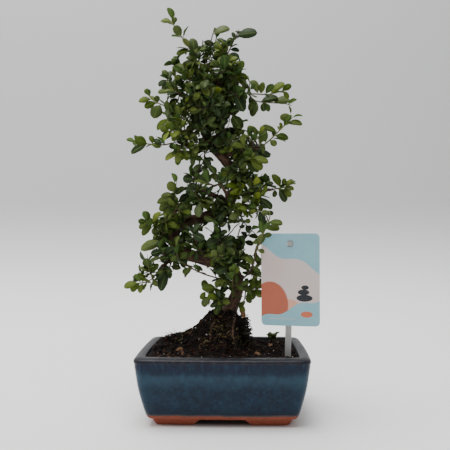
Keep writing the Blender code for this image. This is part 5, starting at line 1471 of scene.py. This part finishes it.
def settle_leaf(crowd, leaves, name, make, fits=None):
    """Adds the first of some tries at a leaf that fits and touches nothing, or none."""
    for attempt in range(ATTEMPTS):
        leaf = make(attempt)
        if (fits is None or fits(leaf)) and crowd.is_clear(name, leaf):
            crowd.add(name, leaf)
            leaves[name].append(leaf)
            return


def place_leaves(crowd, all_routes):
    """Every spray's leaves, drawn ones first, none of them touching another spray."""
    leaves = {name: [] for name in SPRAYS}
    for number, (name, spray) in enumerate(SPRAYS.items()):
        chance, routes = random.Random(100 + number), all_routes[name]
        for row in spray.drawn:
            settle_leaf(crowd, leaves, name, lambda attempt: drawn_leaf(chance, routes, row, attempt))
    for number, (name, spray) in enumerate(SPRAYS.items()):
        chance, routes = random.Random(500 + number), all_routes[name]
        for order in range(spray.grown):
            settle_leaf(crowd, leaves, name,
                        lambda attempt: grown_leaf(chance, routes, order, spray.grown, spray.loose, attempt))
    return leaves


# Soil and what lies in it

SOIL_INSET = 9.9
BANK_HEIGHT = 6.5
BANK_X = -58.0
BANK_Y = 6.0
BANK_REACH = (13.0, 24.0)
CLOD_HEIGHT = 0.85
BED_COLUMNS = 190
BED_ROWS = 150
BED_DEPTH = 36.0
BED_TAPER = 0.955
GRAINS_AT_ONCE = 60
RUNNING_HAIRS = 330
CURLING_HAIRS = 110
HAIR_LIMITS = (66, 49)
HAIR_STEP = 1.8
HAIR_WANDER = 0.42  # spread of its turns, in radians
CURL_STEPS = 15
LEFT_PART_X = -22.0


def plan_point(u, v, inset):
    """The point of the pot's plan for u and v from -1 to 1; the square's rim goes to the plan's rim."""
    reach = max(abs(u), abs(v))
    if reach < 1e-6:
        return Vector((0, 0))
    half_x, half_y, radius = plan_size(inset)
    x, y = u / reach * half_x, v / reach * half_y
    corner_x, corner_y = half_x - radius, half_y - radius
    if abs(x) > corner_x and abs(y) > corner_y:
        middle = Vector((math.copysign(corner_x, x), math.copysign(corner_y, y)))
        out = Vector((x, y)) - middle
        rim = middle + out.normalized() * radius
    else:
        bow_x = POT_BULGE * (1 - (y / half_y) ** 2) if abs(u) > abs(v) else 0.0
        bow_y = POT_BULGE * (1 - (x / half_x) ** 2) if abs(v) >= abs(u) else 0.0
        rim = Vector((x + math.copysign(bow_x, x), y + math.copysign(bow_y, y)))
    return rim * reach


def bed_height(x, y):
    """The soil's fine surface: the bed's height with a bank on the left, clods and grains."""
    here = Vector((x, y, 3.0))
    clods = noise.noise(here / 4.5) + 0.6 * noise.noise(here / 2.1) + 0.35 * noise.noise(here / 1.1)
    bank = BANK_HEIGHT * math.exp(-((x - BANK_X) / BANK_REACH[0]) ** 2 - ((y - BANK_Y) / BANK_REACH[1]) ** 2)
    up_mound = max(0.0, soil_height(x, y) - SOIL_LEVEL - 4) / (MOUND_TOP - SOIL_LEVEL)
    lumps = 2.2 * up_mound * noise.noise(here / 7.5)
    return soil_height(x, y) + bank + (CLOD_HEIGHT + 0.5 * up_mound) * clods + lumps


def build_bed(finish):
    """The soil from rim to rim, dense enough to show its clods, closed below."""
    bm = bmesh.new()
    bmesh.ops.create_grid(bm, x_segments=BED_COLUMNS, y_segments=BED_ROWS, size=1.0)
    tone = bm.verts.layers.float.new("tone")
    for vert in bm.verts:
        reach = max(abs(vert.co.x), abs(vert.co.y))
        spread = reach ** 0.85 / max(reach, 1e-6)
        spot = plan_point(vert.co.x * spread, vert.co.y * spread, SOIL_INSET + GAP)
        settle = 1.0 if reach > 0.995 else 0.0
        vert[tone] = 0.5 + 0.5 * noise.noise(Vector((*spot, 0)) / 6)
        vert.co = (*spot, bed_height(*spot) - settle)
    rim = [edge for edge in bm.edges if edge.is_boundary]
    swept = bmesh.ops.extrude_edge_only(bm, edges=rim)["geom"]
    for vert in points_in(swept):
        vert.co = (vert.co.x * BED_TAPER, vert.co.y * BED_TAPER, BED_DEPTH)
    bmesh.ops.contextual_create(bm, geom=[edge for edge in bm.edges if edge.is_boundary])
    bmesh.ops.recalc_face_normals(bm, faces=bm.faces)
    return piece_from(bm, "soil_bed", [finish], ["soil"])


def scattered(chance, count, mound_share):
    """Places on the bed, this share of them on the mound."""
    limit_x, limit_y, _ = plan_size(SOIL_INSET + 3)
    places = []
    while len(places) < count:
        if chance.random() < mound_share:
            turn, away = chance.uniform(0, math.tau), chance.uniform(4, 34)
            x, y = round_mound(away, turn)
        else:
            x, y = plan_point(chance.uniform(-1, 1), chance.uniform(-1, 1), SOIL_INSET + 2.5)
        if abs(x) < limit_x and abs(y) < limit_y:
            places.append(Vector((x, y, bed_height(x, y))))
    return places


def add_grain(bm, chance, place, size, flatness, tone):
    """An uneven lump of this size, half sunk."""
    turn = Matrix.Rotation(chance.uniform(0, math.tau), 4, scatter(chance))
    length, width = size * chance.uniform(0.7, 1.3), size * chance.uniform(0.7, 1.1)
    shape = Matrix.Diagonal((length, width, size * flatness, 1))
    matrix = Matrix.Translation(place) @ turn @ shape
    verts = bmesh.ops.create_icosphere(bm, subdivisions=1, radius=1.0, matrix=matrix)["verts"]
    layer = bm.verts.layers.float["tone"]
    for vert in verts:
        vert.co = place + (vert.co - place) * chance.uniform(0.75, 1.2)
        vert[layer] = tone


def build_grains(name, finish, seed, count, mound_share, sizes, flatness, may_lie=None):
    """Lumps of one kind over the bed, all or only where they may lie, made a few at a time."""
    chance = random.Random(seed)
    whole = layered("tone")
    places = [place for place in scattered(chance, count, mound_share) if not may_lie or may_lie(place)]
    for first in range(0, len(places), GRAINS_AT_ONCE):
        part = layered("tone")
        for place in places[first:first + GRAINS_AT_ONCE]:
            size = 0.5 * (sizes[0] + (sizes[1] - sizes[0]) * chance.random() ** 2)
            add_grain(part, chance, place + UP * size * 0.25, size, flatness, chance.uniform(0.0, 1.0))
        poured(whole, part)
    return piece_from(whole, name, [finish])


def surface_walk(chance, start, heading, length, lift):
    """A thin root's route over the bed: it wanders, rises a little off the soil and falls back."""
    route, x, y, turn = [], *start, heading
    phase = chance.uniform(0, math.tau)
    count = max(4, int(length / HAIR_STEP))
    for order in range(count):
        share = order / (count - 1)
        rise = lift * math.sin(math.pi * share) * (0.6 + 0.4 * math.sin(phase + share * 9))
        route.append(Vector((x, y, soil_height(x, y) + 0.4 + rise)))
        turn += chance.gauss(0, HAIR_WANDER)
        x += HAIR_STEP * math.cos(turn)
        y += HAIR_STEP * math.sin(turn)
    route[-1].z -= 1.5
    route[0].z -= 1.0
    return route


def curling_root(chance):
    """A hair root that stands off the mound's steep side in a loop and comes back to it."""
    turn, away = chance.uniform(-0.7, 0.5), chance.uniform(10.0, 17.0)
    x, y = round_mound(away, turn)
    start = Vector((x, y, soil_height(x, y) - 0.8))
    out = Vector((math.cos(turn), math.sin(turn), 0.3)).normalized()
    side = out.cross(UP)
    limits = ((4, 12), (1, 12), (-6, 6), (0, 6))
    reach, drop, swing, phase = (chance.uniform(low, high) for low, high in limits)
    route = []
    for step in range(CURL_STEPS + 1):
        share = step / CURL_STEPS
        wobble = 0.8 * math.sin(share * 11 + phase) * math.sin(math.pi * share)
        stand_off = reach * math.sin(math.pi * share) + wobble
        point = start + out * stand_off + side * swing * math.sin(math.tau * share)
        route.append(point - UP * drop * share)
    end = route[-1]
    end.z = min(end.z, soil_height(end.x, end.y) - 0.6)
    return route


def add_hair(whole, chance, route, thick, loss, rarity):
    """A thin root that tapers by this loss; the rarer the pale ones, the larger the rarity."""
    radii = [thick * (1 - loss * order / len(route)) for order in range(len(route))]
    add_rod(whole, route, radii, 4, tone=chance.random() ** rarity)


def build_root_hairs(finish):
    """Fine roots over the mound: most run down it, some curl off its steep right side."""
    chance = random.Random(61)
    whole = layered("youth", "tone")
    limit_x, limit_y = HAIR_LIMITS
    for number in range(RUNNING_HAIRS):
        turn = chance.uniform(0, math.tau)
        start = round_mound(chance.uniform(5, 22), turn)
        heading = turn + chance.gauss(0, 0.7)
        length, lift = chance.uniform(8, 30), chance.uniform(0.3, 2.2)
        route = surface_walk(chance, start, heading, length, lift)
        if all(abs(point.x) < limit_x and abs(point.y) < limit_y for point in route):
            thick = chance.uniform(0.5, 0.8) if number % 11 == 0 else chance.uniform(0.14, 0.34)
            add_hair(whole, chance, route, thick, 0.6, 4)
    for _ in range(CURLING_HAIRS):
        add_hair(whole, chance, curling_root(chance), chance.uniform(0.34, 0.6), 0.5, 3)
    return piece_from(whole, "root_hairs", [finish])


TUFTS = (
    (-8, -20), (-2, -23), (4, -21), (-13, -17), (11, -19), (-38, 2), (-44, -6), (-30, 12), (17, -16),
    (-5, -14), (1, -17), (-17, -22), (-52, 10), (26, -12), (6, 34), (-18, 30), (30, 22),
)
STEMS_IN_TUFT = 15


def build_moss(finish):
    """Golden-brown moss and dry fibres in small tufts round the foot of the mound."""
    chance = random.Random(71)
    whole = layered("youth", "tone")
    for tuft_x, tuft_y in TUFTS:
        for _ in range(STEMS_IN_TUFT):
            x, y = tuft_x + chance.gauss(0, 3.0), tuft_y + chance.gauss(0, 2.6)
            root = Vector((x, y, bed_height(x, y) - 0.6))
            lean = Vector((chance.gauss(0, 1.0), chance.gauss(-0.3, 0.8), 0.9)).normalized()
            length = chance.uniform(2.5, 7.0)
            tip = root + lean * length + Vector((lean.x, lean.y, -0.45)) * length * 0.3
            route = [root, root + lean * length * 0.6, tip]
            add_rod(whole, route, [0.42, 0.34, 0.14], 3, tone=chance.random())
    return piece_from(whole, "moss_tufts", [finish])


# Fine blades

BLADE_COLUMNS = 2
BLADE_ROWS = (0.0, 0.08, 0.21, 0.39, 0.59, 0.78, 0.92, 1.0)  # crosswise rows, as shares of the length
STALK_END = 0.064  # share of the length where the blade begins
STALK_HALF = 0.06  # half width of the stalk, as a share of the blade's half width


def blade_half_width(along):
    """Half the fine blade's width: wedge-shaped at the stalk, widest past the middle, round at the tip."""
    share = max(0.0, (along - STALK_END) / (1 - STALK_END)) ** 1.12
    if not 0 < share < 1:
        return STALK_HALF
    return max(STALK_HALF, (4 * share * (1 - share)) ** (0.95 - 0.5 * share))


def blade_stencil(bm):
    """A flat closed blade: x from -1 to 1 across, y from 0 to 1 along, z the side; it is copied and bent."""
    spans = len(BLADE_ROWS) - 1
    grid = bmesh.ops.create_grid(bm, x_segments=BLADE_COLUMNS, y_segments=spans, size=1.0)["verts"]
    for vert in grid:
        vert.co.y = BLADE_ROWS[round((vert.co.y + 1) / 2 * spans)]
    faces = bm.faces[:]
    print_map = bm.loops.layers.uv["blade"]
    for face in faces:
        for loop in face.loops:
            loop[print_map].uv = ((loop.vert.co.x + 1) / 2, loop.vert.co.y)
    bmesh.ops.solidify(bm, geom=faces, thickness=0.5)
    under = bm.verts.layers.float["under"]
    middle = sum(vert.co.z for vert in bm.verts) / len(bm.verts)
    for vert in bm.verts:
        vert.co.z = 1.0 if vert.co.z > middle else -1.0
        vert[under] = 0.0 if vert.co.z > 0 else 1.0
    bmesh.ops.recalc_face_normals(bm, faces=bm.faces)
    return bm.verts[:] + bm.edges[:] + bm.faces[:]


def add_blade(bm, stencil, leaf, youth, tone, ripple):
    """Copies the stencil and bends it into this leaf."""
    copied = bmesh.ops.duplicate(bm, geom=stencil)["geom"]
    axis = leaf.tip - leaf.base
    length = axis.length
    side = axis.cross(leaf.face).normalized()
    young, shade = bm.verts.layers.float["youth"], bm.verts.layers.float["tone"]
    thick = BLADE_THICK / 2
    for vert in points_in(copied):
        across, along, top = vert.co
        half = leaf.width * BLADE_SPREAD / 2 * blade_half_width(along)
        lift = leaf.arch * length * 4 * along * (1 - along) + leaf.fold * half * abs(across)
        lift += ripple * half * across * math.sin(along * 9)
        taper = thick * top * (1.0 if abs(across) < 0.9 and 0.02 < along < 0.98 else 0.5)
        vert.co = leaf.base + axis * along + side * half * across + leaf.face * (lift + taper)
        vert[young] = youth
        vert[shade] = tone


def leaf_bmesh():
    """An empty mesh for blades, and the stencil in it."""
    bm = layered("youth", "tone", "under")
    return bm, blade_stencil(bm)


def finish_blades(bm, stencil):
    """Takes the stencil away again."""
    bmesh.ops.delete(bm, geom=points_in(stencil), context="VERTS")


# Sprays

# How fresh a spray's leaves are, from 0 for old to 1 for young, where it isn't OLD_FRESH
FRESH = {
    "crown_tip_left": 0.5, "crown_stems": 0.0, "crown_tip_right": 0.0, "right_high": 0.6,
    "left_high": 0.65, "left_yellow": 0.6, "left_low_thin": 0.5, "right_mid_long": 0.65,
    "shelf_tip": 0.65, "right_runner": 0.45, "far_left_mid": 0.45, "far_left_top": 0.5,
    "low_left_tip": 0.5, "low_left_small": 0.5, "low_right": 0.45, "crown_left": 0.5,
    "right_mid_cluster": 0.6, "right_inner_mid": 0.7, "right_shoulder": 0.5, "crown_right": 0.6,
    "mid_upright": 0.75, "left_under": 0.6, "base_shoot": 0.4,
}
OLD_FRESH = 0.12


def shoot_bmesh(routes):
    """A spray's shoots as thin rods."""
    bm = bmesh.new()
    for number, route in enumerate(routes):
        rod(bm, route, shoot_radii(route, number == 0), 3)
    return bm


# Where foliage closes up between the drawn shoots, each an ellipsoid: x and height as seen from the
# front, depth, its three half axes, the number of twigs that grow to it, and how fresh their leaves are
CLUMPS = (
    (-11, 343, -2, 30, 21, 26, 44, 0.5),
    (-20, 318, -4, 40, 20, 28, 54, 0.36),
    (-44, 288, -10, 24, 23, 20, 38, 0.6),
    (-9, 292, -10, 24, 26, 26, 44, 0.18),
    (-6, 266, -14, 20, 14, 18, 18, 0.14),
    (18, 262, -4, 23, 18, 24, 28, 0.36),
    (24, 240, -8, 15, 18, 20, 22, 0.25),
    (25, 218, -10, 17, 14, 20, 22, 1.0),
    (-25, 219, -8, 17, 8, 18, 14, 0.3),
    (-47, 198, 0, 13, 12, 20, 18, 0.4),
    (-14, 212, 6, 28, 7, 18, 14, 0.3),
    (-51, 176, -6, 19, 19, 24, 32, 0.36),
    (-56, 148, -12, 22, 13, 18, 18, 0.3),
    (-8, 155, -10, 30, 16, 24, 38, 0.24),
    (14, 130, -10, 20, 19, 20, 28, 0.34),
    (-6, 114, -14, 9, 10, 12, 9, 0.4),
    (34, 150, -24, 10, 26, 14, 8, 0.5),
    (-3, 264, -20, 14, 7, 8, 14, 0.16),
    (14, 236, -18, 7, 11, 9, 12, 0.3),
    (-36, 303, -8, 16, 9, 12, 16, 0.5),
    (-36, 262, -18, 16, 10, 10, 16, 0.4),
    (-6, 149, -18, 15, 8, 8, 16, 0.2),
    (-47, 202, -14, 11, 11, 8, 12, 0.5),
    (-60, 188, -12, 10, 14, 8, 12, 0.5),
    (30, 202, -16, 12, 9, 8, 12, 0.9),
    (-3, 203, -14, 15, 7, 8, 14, 0.2),
    (14, 200, -20, 12, 5, 6, 12, 0.6),
    (-34, 233, -12, 6, 4, 6, 4, 0.3),
    (-8, 312, 28, 26, 30, 18, 40, 0.3),
    (-8, 284, 28, 22, 16, 16, 20, 0.25),
    (-4, 158, 24, 24, 16, 16, 26, 0.25),
    (-48, 188, 26, 14, 14, 14, 14, 0.35),
    (22, 256, 22, 18, 14, 12, 14, 0.4),
    (-6, 190, -10, 15, 5, 8, 11, 0.25),
    (-72, 135, -14, 15, 8, 6, 14, 0.4),
    (-34, 357, -2, 8, 7, 6, 6, 0.5),
    (21, 319, -6, 7, 9, 8, 8, 0.5),
    (7, 190, -14, 6, 5, 6, 8, 0.3),
    (-22, 143, -14, 10, 3, 6, 8, 0.3),
    (-49, 346, -4, 5, 5, 5, 5, 0.5),
    (-23, 182, -10, 9, 5, 6, 8, 0.25),
)

TWIG_REACH = (4.0, 24.0)
WOOD_DRAW = 1.2  # how much farther than a shoot the wood counts
EXTRA_LEAVES = 10  # that a loose spray gets on top, and half as many for the others
EXTRA_MARGIN = 0.1  # clear space round an added leaf
TWIG_THICK = 0.62
TWIG_TAPER = 0.3
LEAF_SPACING = 2.0  # along a twig


def clump_targets(chance):
    """Points in the clumps, the clumps in turn, each with its freshness."""
    targets = []
    for x, z, depth, reach_x, reach_z, reach_y, count, fresh in CLUMPS:
        for _ in range(count):
            out = scatter(chance).normalized() * chance.uniform(0.25, 1.0) ** 0.5
            spot = seen(x + reach_x * out.x, z + reach_z * out.z, depth)
            spot.y += reach_y * out.y
            targets.append((spot, fresh))
    chance.shuffle(targets)
    return targets


def fill_twig(chance, anchors, wood_tree, crowd, target):
    """A twig from the nearest shoot or wood to the target: its spray's name and its route, or none."""
    base, name, ahead = min(anchors, key=lambda anchor: (anchor[0] - target).length)
    surface, normal, _, away = wood_tree.find_nearest(target)
    if away * WOOD_DRAW < (base - target).length:
        base, ahead = surface - normal * 0.4, normal
    span = target - base
    if not TWIG_REACH[0] < span.length < TWIG_REACH[1] or not inside_crown(target) or in_opening(target):
        return None
    bend = faced(span.normalized(), ahead + Vector((0, 0, -0.3))) * span.length * chance.uniform(0.05, 0.2)
    route = [base, base + span * 0.3 + bend * 0.8, base + span * 0.65 + bend, target]
    bm = bmesh.new()
    rod(bm, route[1:], [0.9, 0.8, 0.7], 3)
    tree = BVHTree.FromBMesh(bm)
    bm.free()
    if any(tree.overlap(other) for other in crowd.fixed):
        return None
    return name, route


# Where the photograph sees through or past the crown: ellipses as seen from the front, their x, height
# and half axes; none of the added leaves grow there
OPENINGS = (
    (-10, 239, 9, 9), (0, 217, 6, 5), (-9, 222, 4, 5), (-15, 177, 6, 8), (8, 180, 11, 6), (28, 179, 8, 11),
    (26, 162, 5, 5), (46, 197, 8, 16), (7, 287, 5, 7), (21, 287, 6, 8), (-63, 290, 5, 10), (-69, 206, 10, 10),
    (-75, 165, 9, 7), (-40, 212, 5, 7), (-42, 227, 4, 6), (-41, 352, 4, 6), (38, 244, 5, 7),
)
CROWN_MARGIN = 3.0


def fits_crown(leaf):
    """True for a leaf that stays inside the crown and out of the openings."""
    middle = leaf.base.lerp(leaf.tip, 0.55)
    return inside_crown(leaf.tip) and not in_opening(leaf.tip) and not in_opening(middle)


def in_opening(point):
    """True where the point would show in one of the openings."""
    scale = EYE_DISTANCE / (EYE_DISTANCE + point.y)
    x = EYE_X + (point.x - EYE_X) * scale
    height = EYE_HEIGHT + (point.z - EYE_HEIGHT) * scale
    return any(((x - middle_x) / half_x) ** 2 + ((height - middle_z) / half_z) ** 2 < 1
               for middle_x, middle_z, half_x, half_z in OPENINGS)


def inside_crown(point):
    """True where a point keeps within the CAD model's own outline."""
    low, high = (TO_WORKSHOP @ Vector(corner) for corner in cad_bounds)
    return all(low[axis] + CROWN_MARGIN < point[axis] < high[axis] - CROWN_MARGIN for axis in range(3))


def grow_sprays(leaf_green, twig_brown):
    """Every spray in fine form: the CAD model's shoots and leaves, then twigs and leaves between them."""
    wood_tree = workshop_tree("trunk")
    rod_lines = [pair for route in coarse_routes() for pair in zip(route, route[1:])]
    all_routes = {name: spray_routes(spray.shoots, wood_tree, rod_lines) for name, spray in SPRAYS.items()}
    others = ("pot", "soil", "label_card", "label_stake", "weed")
    crowd = Crowd([wood_tree, *(workshop_tree(node) for node in others)])
    for name, routes in all_routes.items():
        bm = shoot_bmesh(routes)
        crowd.twigs[name] = BVHTree.FromBMesh(bm)
        bm.free()
    leaves = place_leaves(crowd, all_routes)
    extra = add_between(crowd, all_routes, leaves)
    for number, name in enumerate(SPRAYS):
        build_spray(number, name, all_routes[name], extra[name], leaves[name], leaf_green, twig_brown)


def add_between(crowd, all_routes, leaves):
    """Fills the crown between the drawn shoots with side twigs and their leaves."""
    chance = random.Random(900)
    extra = {name: [] for name in SPRAYS}
    crowd.margin = EXTRA_MARGIN
    anchors = []
    for name, routes in all_routes.items():
        for route in routes:
            anchors += anchors_along(route[1:], name)
    for target, fresh in clump_targets(chance):
        grown = fill_twig(chance, anchors, crowd.fixed[0], crowd, target)
        if not grown:
            continue
        name, route = grown
        extra[name].append((route, fresh))
        anchors += anchors_along(route[1:], name)
        count = max(5, int((route[-1] - route[0]).length / LEAF_SPACING))
        for order in range(count):
            settle_leaf(crowd, leaves, name,
                        lambda attempt: twig_leaf(chance, route, order, count, attempt), fits_crown)
    for number, (name, spray) in enumerate(SPRAYS.items()):
        chance, routes = random.Random(950 + number), all_routes[name]
        count = EXTRA_LEAVES if spray.loose else EXTRA_LEAVES // 2
        for order in range(count):
            settle_leaf(crowd, leaves, name,
                        lambda attempt: grown_leaf(chance, routes, order, count, True, attempt), fits_crown)
    return extra


def anchors_along(route, name):
    """Points of a route where twigs may start, with their spray and the route's heading."""
    return [(start.lerp(end, share), name, (end - start).normalized())
            for start, end in zip(route, route[1:]) for share in (0.2, 0.6, 0.95)]


def twig_leaf(chance, route, order, count, attempt):
    """A leaf of a side twig: they turn about it, and the last one ends it."""
    share = 0.2 + 0.8 * (order + 0.6) / count
    last = order == count - 1
    spot = share * (len(route) - 1)
    span = min(int(spot), len(route) - 2)
    start, end = route[span], route[span + 1]
    base = start.lerp(end, min(0.97, spot - span))
    ahead = (end - start).normalized()
    radial = turned_from(ahead, GOLDEN_ANGLE * order + chance.uniform(-0.5, 0.5) + attempt * 0.8)
    lean = math.radians(chance.uniform(0, 25) if last else chance.uniform(35, 75))
    axis = (ahead * math.cos(lean) + radial * math.sin(lean) + Vector((0, 0, 0.15))).normalized()
    length = LEAF_LENGTH * chance.uniform(0.55, 1.08) * (1 - 0.04 * attempt)
    outward = Vector((base.x, base.y, 0)).normalized()
    wish = outward * 1.2 + scatter(chance, 0.55) + UP * 0.5
    width = LEAF_SHARE * length * chance.uniform(0.8, 1.1)
    return Leaf(base, base + axis * length, faced(axis, wish), width, chance.uniform(0.02, 0.12),
                chance.uniform(0.1, 0.45))


def limited(value):
    """The value, held between 0 and 1."""
    return min(1.0, max(0.0, value))


def tip_share(routes, twigs, base):
    """How far along its shoot a leaf stands, to 1 at the tip, and its twig's freshness if it is on one."""
    best = (1e9, 0.0, None)
    for route, own in [(route, None) for route in routes] + twigs:
        total = sum((end - start).length for start, end in zip(route, route[1:]))
        run = 0.0
        for start, end in zip(route, route[1:]):
            _, share = intersect_point_line(base, start, end)
            share = limited(share)
            away = (start.lerp(end, share) - base).length
            step = (end - start).length
            if away < best[0]:
                best = (away, (run + share * step) / total, own)
            run += step
    return best[1], best[2]


def build_spray(number, name, routes, twigs, leaves, leaf_green, twig_brown):
    """One spray's blades, coloured by their place on the shoot, with its shoots and twigs."""
    chance = random.Random(1300 + number)
    bm, stencil = leaf_bmesh()
    fresh = FRESH.get(name, OLD_FRESH)
    for leaf in leaves:
        share, on_twig = tip_share(routes, twigs, leaf.base)
        own = fresh if on_twig is None else on_twig
        youth = limited(own * (0.25 + 0.95 * share ** 1.6) + chance.gauss(0, 0.15))
        tone = limited(chance.gauss(0.48, 0.27))
        add_blade(bm, stencil, leaf, youth, tone, chance.uniform(-0.15, 0.15))
    finish_blades(bm, stencil)
    for order, route in enumerate(routes):
        fine = smooth_route(route, 3)
        radii = blended(shoot_radii(route, order == 0), 3)
        if order == 0:
            radii[0] = TWIG_RADIUS * 0.9
            fine[0] = fine[0] + (fine[0] - fine[1]).normalized() * (GAP + 0.6)
        start = max(fresh - 0.2, 0.1 if order == 0 else 0.3)
        ages = [start + (fresh + 0.35 - start) * place / (len(fine) - 1) for place in range(len(fine))]
        add_rod(bm, fine, radii, 6, 1, youth=ages)
    for route, own in twigs:
        fine = smooth_route(route, 2)
        shares = [place / (len(fine) - 1) for place in range(len(fine))]
        radii = [TWIG_THICK - TWIG_TAPER * share for share in shares]
        add_rod(bm, fine, radii, 5, 1, youth=[0.3 + own * share for share in shares])
    return piece_from(bm, name + "_leaves", [leaf_green, twig_brown], [name])


WEED_PLACE = (50.0, 29.0)
WEED_LEAVES = 15


def build_weed(finish, twig):
    """The seedling in fine form."""
    x, y = WEED_PLACE
    ground = soil_height(x, y)
    chance = random.Random(7)
    route = [Vector((x, y, ground - 3)), Vector((x, y, ground + 3)), Vector((x + 1, y - 1, ground + 10))]
    bm, stencil = leaf_bmesh()
    for order in range(WEED_LEAVES):
        base = route[1].lerp(route[2], 0.05 + 0.9 * order / WEED_LEAVES)
        turn = GOLDEN_ANGLE * order
        axis = Vector((math.cos(turn), math.sin(turn), chance.uniform(0.1, 1.3))).normalized()
        length = chance.uniform(6, 9)
        leaf = Leaf(base, base + axis * length, faced(axis, Vector((0, -0.5, 1))), 3.2, 0.1, 0.25)
        add_blade(bm, stencil, leaf, chance.uniform(0.0, 0.35), chance.uniform(0.2, 0.7), 0.1)
    finish_blades(bm, stencil)
    add_rod(bm, smooth_route(route, 3), [0.6] * 7, 6, 1, youth=[0.5] * 7)
    return piece_from(bm, "seedling", [finish, twig], ["weed"])


def build_dead_leaves(finish):
    """Brown leaves caught on the mound and fallen on the soil."""
    chance = random.Random(83)
    bm, stencil = leaf_bmesh()
    caught = seen(18, 101, -14)
    spots = [(caught, (0.25, -0.2, -1), 9.5), ((-46, -20, 0), (1, 0.3, 0.1), 8),
             ((36, -30, 0), (-0.8, 0.5, 0.1), 7), ((-24, 36, 0), (0.5, 1, 0.1), 12),
             ((46, 8, 0), (0.2, 1, 0.1), 9)]
    for spot, heading, length in spots:
        base = Vector(spot)
        if not base.z:
            base.z = bed_height(base.x, base.y) + 1.2
        axis = Vector(heading).normalized()
        leaf = Leaf(base, base + axis * length, faced(axis, Vector((0, -1, 0.6))), length * 0.45, -0.12, 0.9)
        add_blade(bm, stencil, leaf, 0.5, chance.random(), 0.2)
    finish_blades(bm, stencil)
    return piece_from(bm, "fallen_leaves", [finish])


def dress_node(node, finish):
    """A CAD node whose shape is right keeps it and takes a finish."""
    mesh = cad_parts[node].data
    mesh.materials.clear()
    mesh.materials.append(finish)


def on_left(place):
    """True over the left part of the bed, where the bark chips lie."""
    return place.x < LEFT_PART_X


def build_all():
    """The stage, the plant, the pot and the label."""
    build_stage()
    build_light()
    build_camera()
    build_pot(pot_finish())
    build_wood(bark_finish())
    compost = soil_finish()
    build_bed(compost)
    build_grains("soil_crumbs", compost, 41, 3600, 0.45, (1.0, 4.2), 0.75)
    build_grains("perlite", perlite_finish(), 43, 90, 0.3, (0.8, 2.2), 0.8)
    build_grains("bark_chips", chip_finish(), 47, 190, 0.1, (2.4, 6.5), 0.25, on_left)
    build_root_hairs(root_finish())
    build_moss(moss_finish())
    leaf_green, twig_brown = leaf_finish(), twig_finish()
    grow_sprays(leaf_green, twig_brown)
    build_weed(leaf_green, twig_brown)
    build_dead_leaves(dead_leaf_finish())
    dress_node("label_card", label_finish())
    dress_node("label_stake", stake_finish())


build_all()
